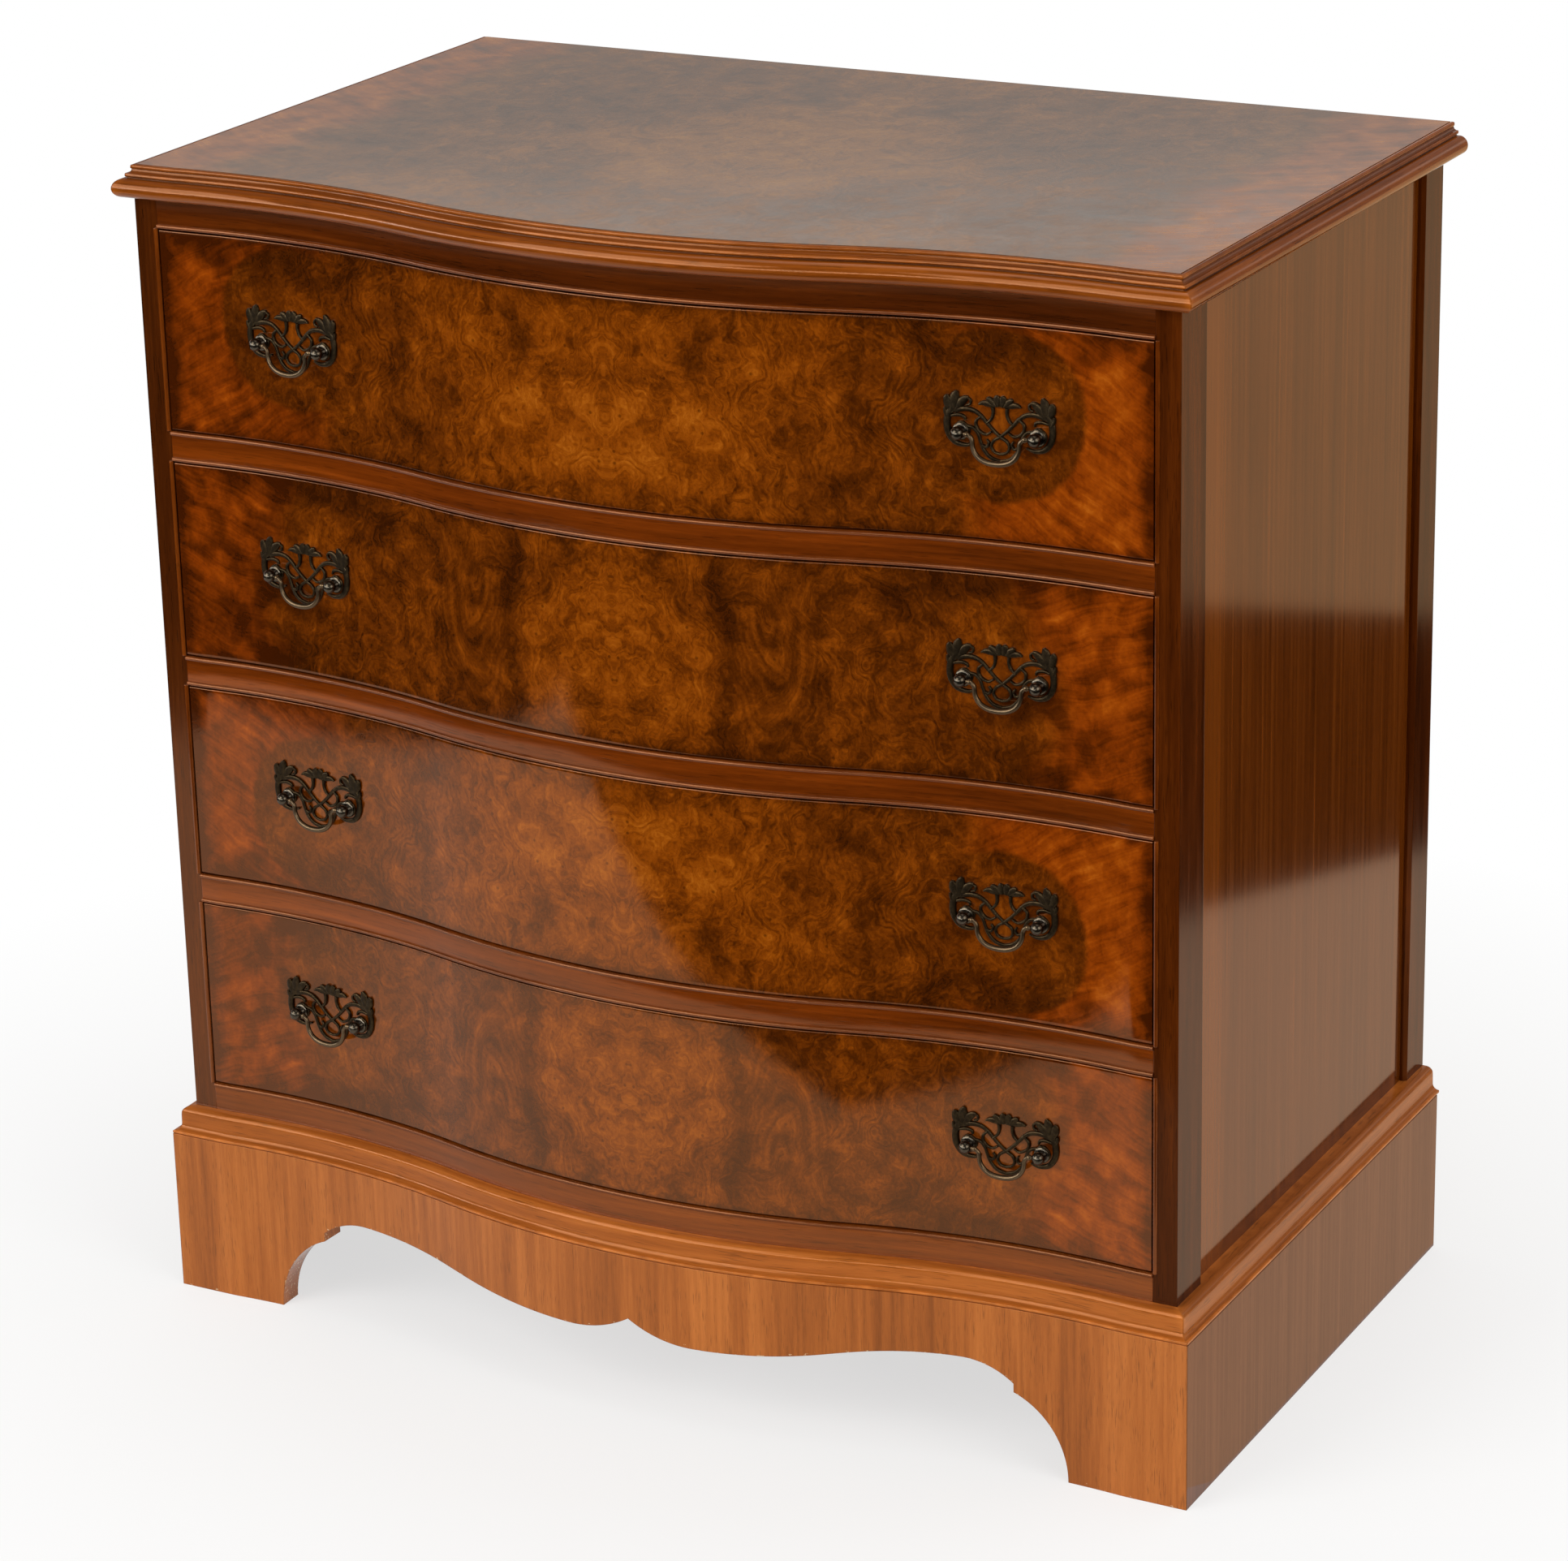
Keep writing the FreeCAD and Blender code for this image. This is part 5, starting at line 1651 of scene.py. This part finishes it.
        self.polish_only(self.curved("room_wall", radius, angle, height, self.walls()))
        turns = np.radians(np.linspace(*self.window_span, 25))
        angle, height = np.meshgrid(turns, np.linspace(*self.window_levels, 3), indexing="ij")
        window = self.lit("window_glow", (0.68, 0.76, 0.86), (0.72, 0.80, 0.90), self.window_strength)
        self.polish_only(self.curved("window_band", self.window, angle, height, window))


# Woods and metals of this chest


STILE = {"vessel": (0.06, 1.0), "relief": 0.015}
LEFT_STILE = StraightWood("dark_walnut_left", (0.022, 0.0043, 0.0003), (0.058, 0.0114, 0.0008),
                          (0.125, 0.0260, 0.0020), Grain.Z, specular=0.8, **STILE)
RIGHT_STILE = StraightWood("dark_walnut_right", (0.023, 0.0042, 0.0003), (0.060, 0.0114, 0.0008),
                           (0.128, 0.0260, 0.0020), Grain.Z, specular=0.2, **STILE)
RAIL_WALNUT = StraightWood(
    "dark_walnut_rail", (0.055, 0.0094, 0.0004), (0.148, 0.0260, 0.0010), (0.290, 0.0550, 0.0028), Grain.ALONG,
    vessel=(0.05, 1.1))
# darker copy of the rail walnut, with the shadow under the top moulding painted in
SHADED_TOP_RAIL_WALNUT = StraightWood(
    "top_rail_walnut_painted_shadow", (0.030, 0.0054, 0.0003), (0.076, 0.0136, 0.0007), (0.165, 0.0320, 0.0020), Grain.ALONG,
    vessel=(0.05, 1.1))
# lighter copy of the rail walnut, with brighter light and reflection on the bottom rail painted in
LIT_BOTTOM_RAIL_WALNUT = StraightWood(
    "bottom_rail_walnut_painted_light", (0.070, 0.0130, 0.0007), (0.152, 0.0294, 0.0016), (0.290, 0.0620, 0.0040), Grain.ALONG,
    vessel=(0.05, 1.1))
BEAD_WALNUT = StraightWood(
    "bead_walnut", (0.050, 0.0088, 0.0005), (0.098, 0.0175, 0.0011), (0.175, 0.0390, 0.0036), Grain.ALONG, 0.08,
    carved=True)
PANEL_WALNUT = StraightWood(
    "panel_walnut", (0.050, 0.0104, 0.0008), (0.098, 0.0209, 0.0014), (0.175, 0.0415, 0.0036), Grain.Z, 0.09, 0.5,
    specular=0.6, vessel=(0.04, 1.0), relief=0.015, bands=0.26, sway=0.35, sap=(-0.126, -0.112))
TOP_MOULDING = StraightWood(
    "top_moulding_walnut", (0.066, 0.0130, 0.0010), (0.180, 0.0400, 0.0030), (0.310, 0.0800, 0.0080), Grain.ALONG,
    0.08, carved=True, specular=0.6, vessel=(0.05, 1.3))
BASE_MOULDING = StraightWood(
    "base_moulding_walnut", (0.180, 0.0430, 0.0054), (0.345, 0.0900, 0.0120), (0.500, 0.1480, 0.0250), Grain.ALONG,
    carved=True, specular=0.6, vessel=(0.05, 1.3))
PLINTH_WALNUT = StraightWood(
    "plinth_walnut", (0.170, 0.0400, 0.0060), (0.350, 0.0950, 0.0150), (0.530, 0.1640, 0.0310), Grain.ACROSS, 0.16,
    0.5, chipped=True, vessel=(0.08, 1.5))
PLINTH_SIDE = StraightWood(
    "plinth_side_walnut", (0.124, 0.0400, 0.0150), (0.172, 0.0600, 0.0240), (0.230, 0.0840, 0.0340), Grain.Z,
    pores=0.35, specular=0.2, vessel=(0.06, 1.0), relief=0.03, bands=0.32, sway=0.4)
LINING_ALONG = StraightWood(
    "oak_lining_sides", (0.270, 0.150, 0.065), (0.400, 0.250, 0.120), (0.500, 0.340, 0.185), Grain.Y, 0.62,
    specular=0.25)
LINING_ACROSS = StraightWood(
    "oak_lining_cross", (0.260, 0.145, 0.060), (0.390, 0.240, 0.115), (0.490, 0.330, 0.180), Grain.X, 0.62,
    specular=0.25)
PINE_ALONG = StraightWood(
    "pine_runners", (0.280, 0.150, 0.060), (0.430, 0.260, 0.120), (0.540, 0.360, 0.190), Grain.Y, 0.7, 0.2,
    specular=0.25)
PINE_ACROSS = StraightWood(
    "pine_cross", (0.250, 0.135, 0.055), (0.380, 0.225, 0.105), (0.480, 0.310, 0.160), Grain.X, 0.7, 0.2,
    specular=0.25)
PINE_BACK = StraightWood(
    "pine_back", (0.220, 0.120, 0.050), (0.340, 0.200, 0.095), (0.440, 0.280, 0.145), Grain.Z, 0.72, 0.2,
    specular=0.25)
AGED_BRASS = Brass("aged_brass", (0.012, 0.008, 0.005), (0.110, 0.068, 0.029), 0.42, 0.30, 0.18, 0.7)
POST_BRASS = Brass("post_brass", (0.030, 0.024, 0.018), (0.260, 0.200, 0.130), 0.50, 0.18, 0.03, 0.2)
WORN_BRASS = Brass("worn_brass", (0.060, 0.040, 0.024), (0.350, 0.215, 0.100), 0.45, 0.24, 0.03, 0.12)
TOP_VENEER = BurrVeneer("top_burr", roughness=0.10, contrast=0.7, specular=0.3, gain=(0.84, 1.32, 1.2), warmth=1.18)

# Levels in mm, and leaves of veneer


OPENINGS = ((614.5, 749.5), (460.0, 594.0), (305.5, 439.5), (152.5, 285.0))
RAIL_LEVELS = {
    "top_rail": (749.5, TOP_LOW),
    "drawer_rail_1": (594.0, 614.5),
    "drawer_rail_2": (439.5, 460.0),
    "drawer_rail_3": (285.0, 305.5),
    "bottom_rail": (PLINTH_HIGH, 152.5),
}
OPEN_BURR = Leaf(
    11,
    dark=((258, 118, 34, 22, .35), (166, 66, 17, 80, .5), (204, 66, 15, 60, .35), (205, 122, 26, 22, .5),
          (62, 106, 8, 20, .2), (32, 84, 28, 9, .3), (101, 122, 24, 14, .4), (130, 18, 40, 12, .35),
          (110, 60, 30, 40, .3), (324, 119, 30, 18, .8), (80, 12, 70, 14, .3), (214, 12, 30, 14, .35)),
    gold=((64, 38, 40, 50, .6), (105, 92, 26, 30, .4), (44, 114, 16, 14, .9), (8, 60, 26, 60, .7),
          (318, 60, 26, 60, .3), (276, 47, 15, 15, .4)),
    arches=((43, 113, 15, 15, .5), (138, 46, 12, 30, .5)),
    slope=-0.55, disc=(252, 77, 56, 55, .75), left_end_shade=0.62, rim=1.1)
KNOTTED_BURR = Leaf(
    23,
    dark=((78, 98, 8, 38, .9), (134, 104, 11, 34, .75), (222, 120, 46, 13, 1.1), (206, 94, 26, 16, .5),
          (176, 50, 34, 60, .5), (268, 42, 36, 12, .55), (30, 122, 7, 14, .5), (334, 72, 8, 6, .7),
          (305, 50, 40, 70, .22), (12, 98, 6, 18, .4), (40, 58, 5, 20, .4), (22, 28, 9, 9, .35), (54, 98, 6, 15, .45),
          (248, 12, 46, 19, .8), (104, 88, 20, 32, .45), (8, 118, 18, 14, .35), (176, 118, 32, 14, .35),
          (304, 84, 14, 16, .4)),
    gold=((14, 62, 34, 50, .66), (104, 104, 12, 24, .15), (160, 48, 16, 16, .3), (96, 14, 30, 14, .35)),
    arches=((104, 84, 26, 62, 1.0),),
    slope=0.34, shelf=(104, 30, 40, 30, .55), left_end_shade=0.5, rim=1.1)
TOP_BURR = Leaf(
    71,
    dark=((180, 330, 90, 110, .48), (250, 160, 60, 90, .4), (110, 120, 70, 60, .4), (60, 380, 40, 50, .3)),
    gold=((60, 240, 110, 120, .55), (150, 60, 60, 50, .55), (40, 130, 50, 40, .4)),
    arches=((90, 300, 40, 60, .6), (200, 130, 30, 45, .6)), slope=0.6, eyes=110, flame_from=288.0, left_end_shade=0.0)


def main() -> None:
    """Builds every sub-assembly in order and notes the sizes."""
    logging.basicConfig(level=logging.INFO, format="%(message)s")
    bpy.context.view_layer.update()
    Studio().build()
    drawers = range(1, len(OPENINGS) + 1)
    for finish, nodes in (
            (LEFT_STILE, ["left_front_stile", "left_rear_stile"]),
            (RIGHT_STILE, ["right_front_stile", "right_rear_stile"]),
            (PANEL_WALNUT, ["left_end_panel", "right_end_panel"]),
            (PLINTH_SIDE, ["plinth_left_side", "plinth_right_side"]),
            (LINING_ALONG, [f"drawer_{n}_sides" for n in drawers]),
            (LINING_ACROSS, [f"drawer_{n}_{part}" for n in drawers for part in ("back", "bottom")]),
            (PINE_ALONG, ["drawer_runners", "drawer_guides"]),
            (PINE_ACROSS, ["rear_top_rail", "rear_bottom_rail", "plinth_back_rail", "plinth_blocks", "drawer_stops"]),
            (PINE_BACK, ["back_panel"])):
        PlainBoards(finish, nodes).dress()
    rails = BowedRails(RAIL_LEVELS, OPENINGS)
    # the top rail's copy carries painted shadow, the bottom rail's painted light
    rails.build_rails(RAIL_WALNUT.material(), {"top_rail": SHADED_TOP_RAIL_WALNUT.material(),
                                               "bottom_rail": LIT_BOTTOM_RAIL_WALNUT.material()})
    rails.build_beads(BEAD_WALNUT.material())
    Moulding("top", top_section(), TOP_HALF, TOP_INSET, TOP_BACK).build(TOP_MOULDING.material())
    base = Moulding("base", base_section(), PLINTH_HALF, inset=0.0, back=418.0, tuck=5.3)
    base.build(BASE_MOULDING.material())
    PlinthFront().build(PLINTH_WALNUT.material())
    TopBoard(Veneer(TOP_BURR, height=480.0)).build(TOP_VENEER.material())
    burr = BurrVeneer("burr_walnut").material()
    plate, post, bar = (brass.material() for brass in (AGED_BRASS, POST_BRASS, WORN_BRASS))
    for number, (low, high) in zip(drawers, OPENINGS):
        leaf = KNOTTED_BURR if number % 2 == 0 else OPEN_BURR
        veneer = Veneer(leaf, height=133.0, turned=number > 2)
        DrawerFront(number, low + FRONT_GAP, high - FRONT_GAP, veneer).build(burr)
        DrawerHandles(number, (low + high) / 2).build(plate, post, bar)


if __name__ == "__main__":
    main()
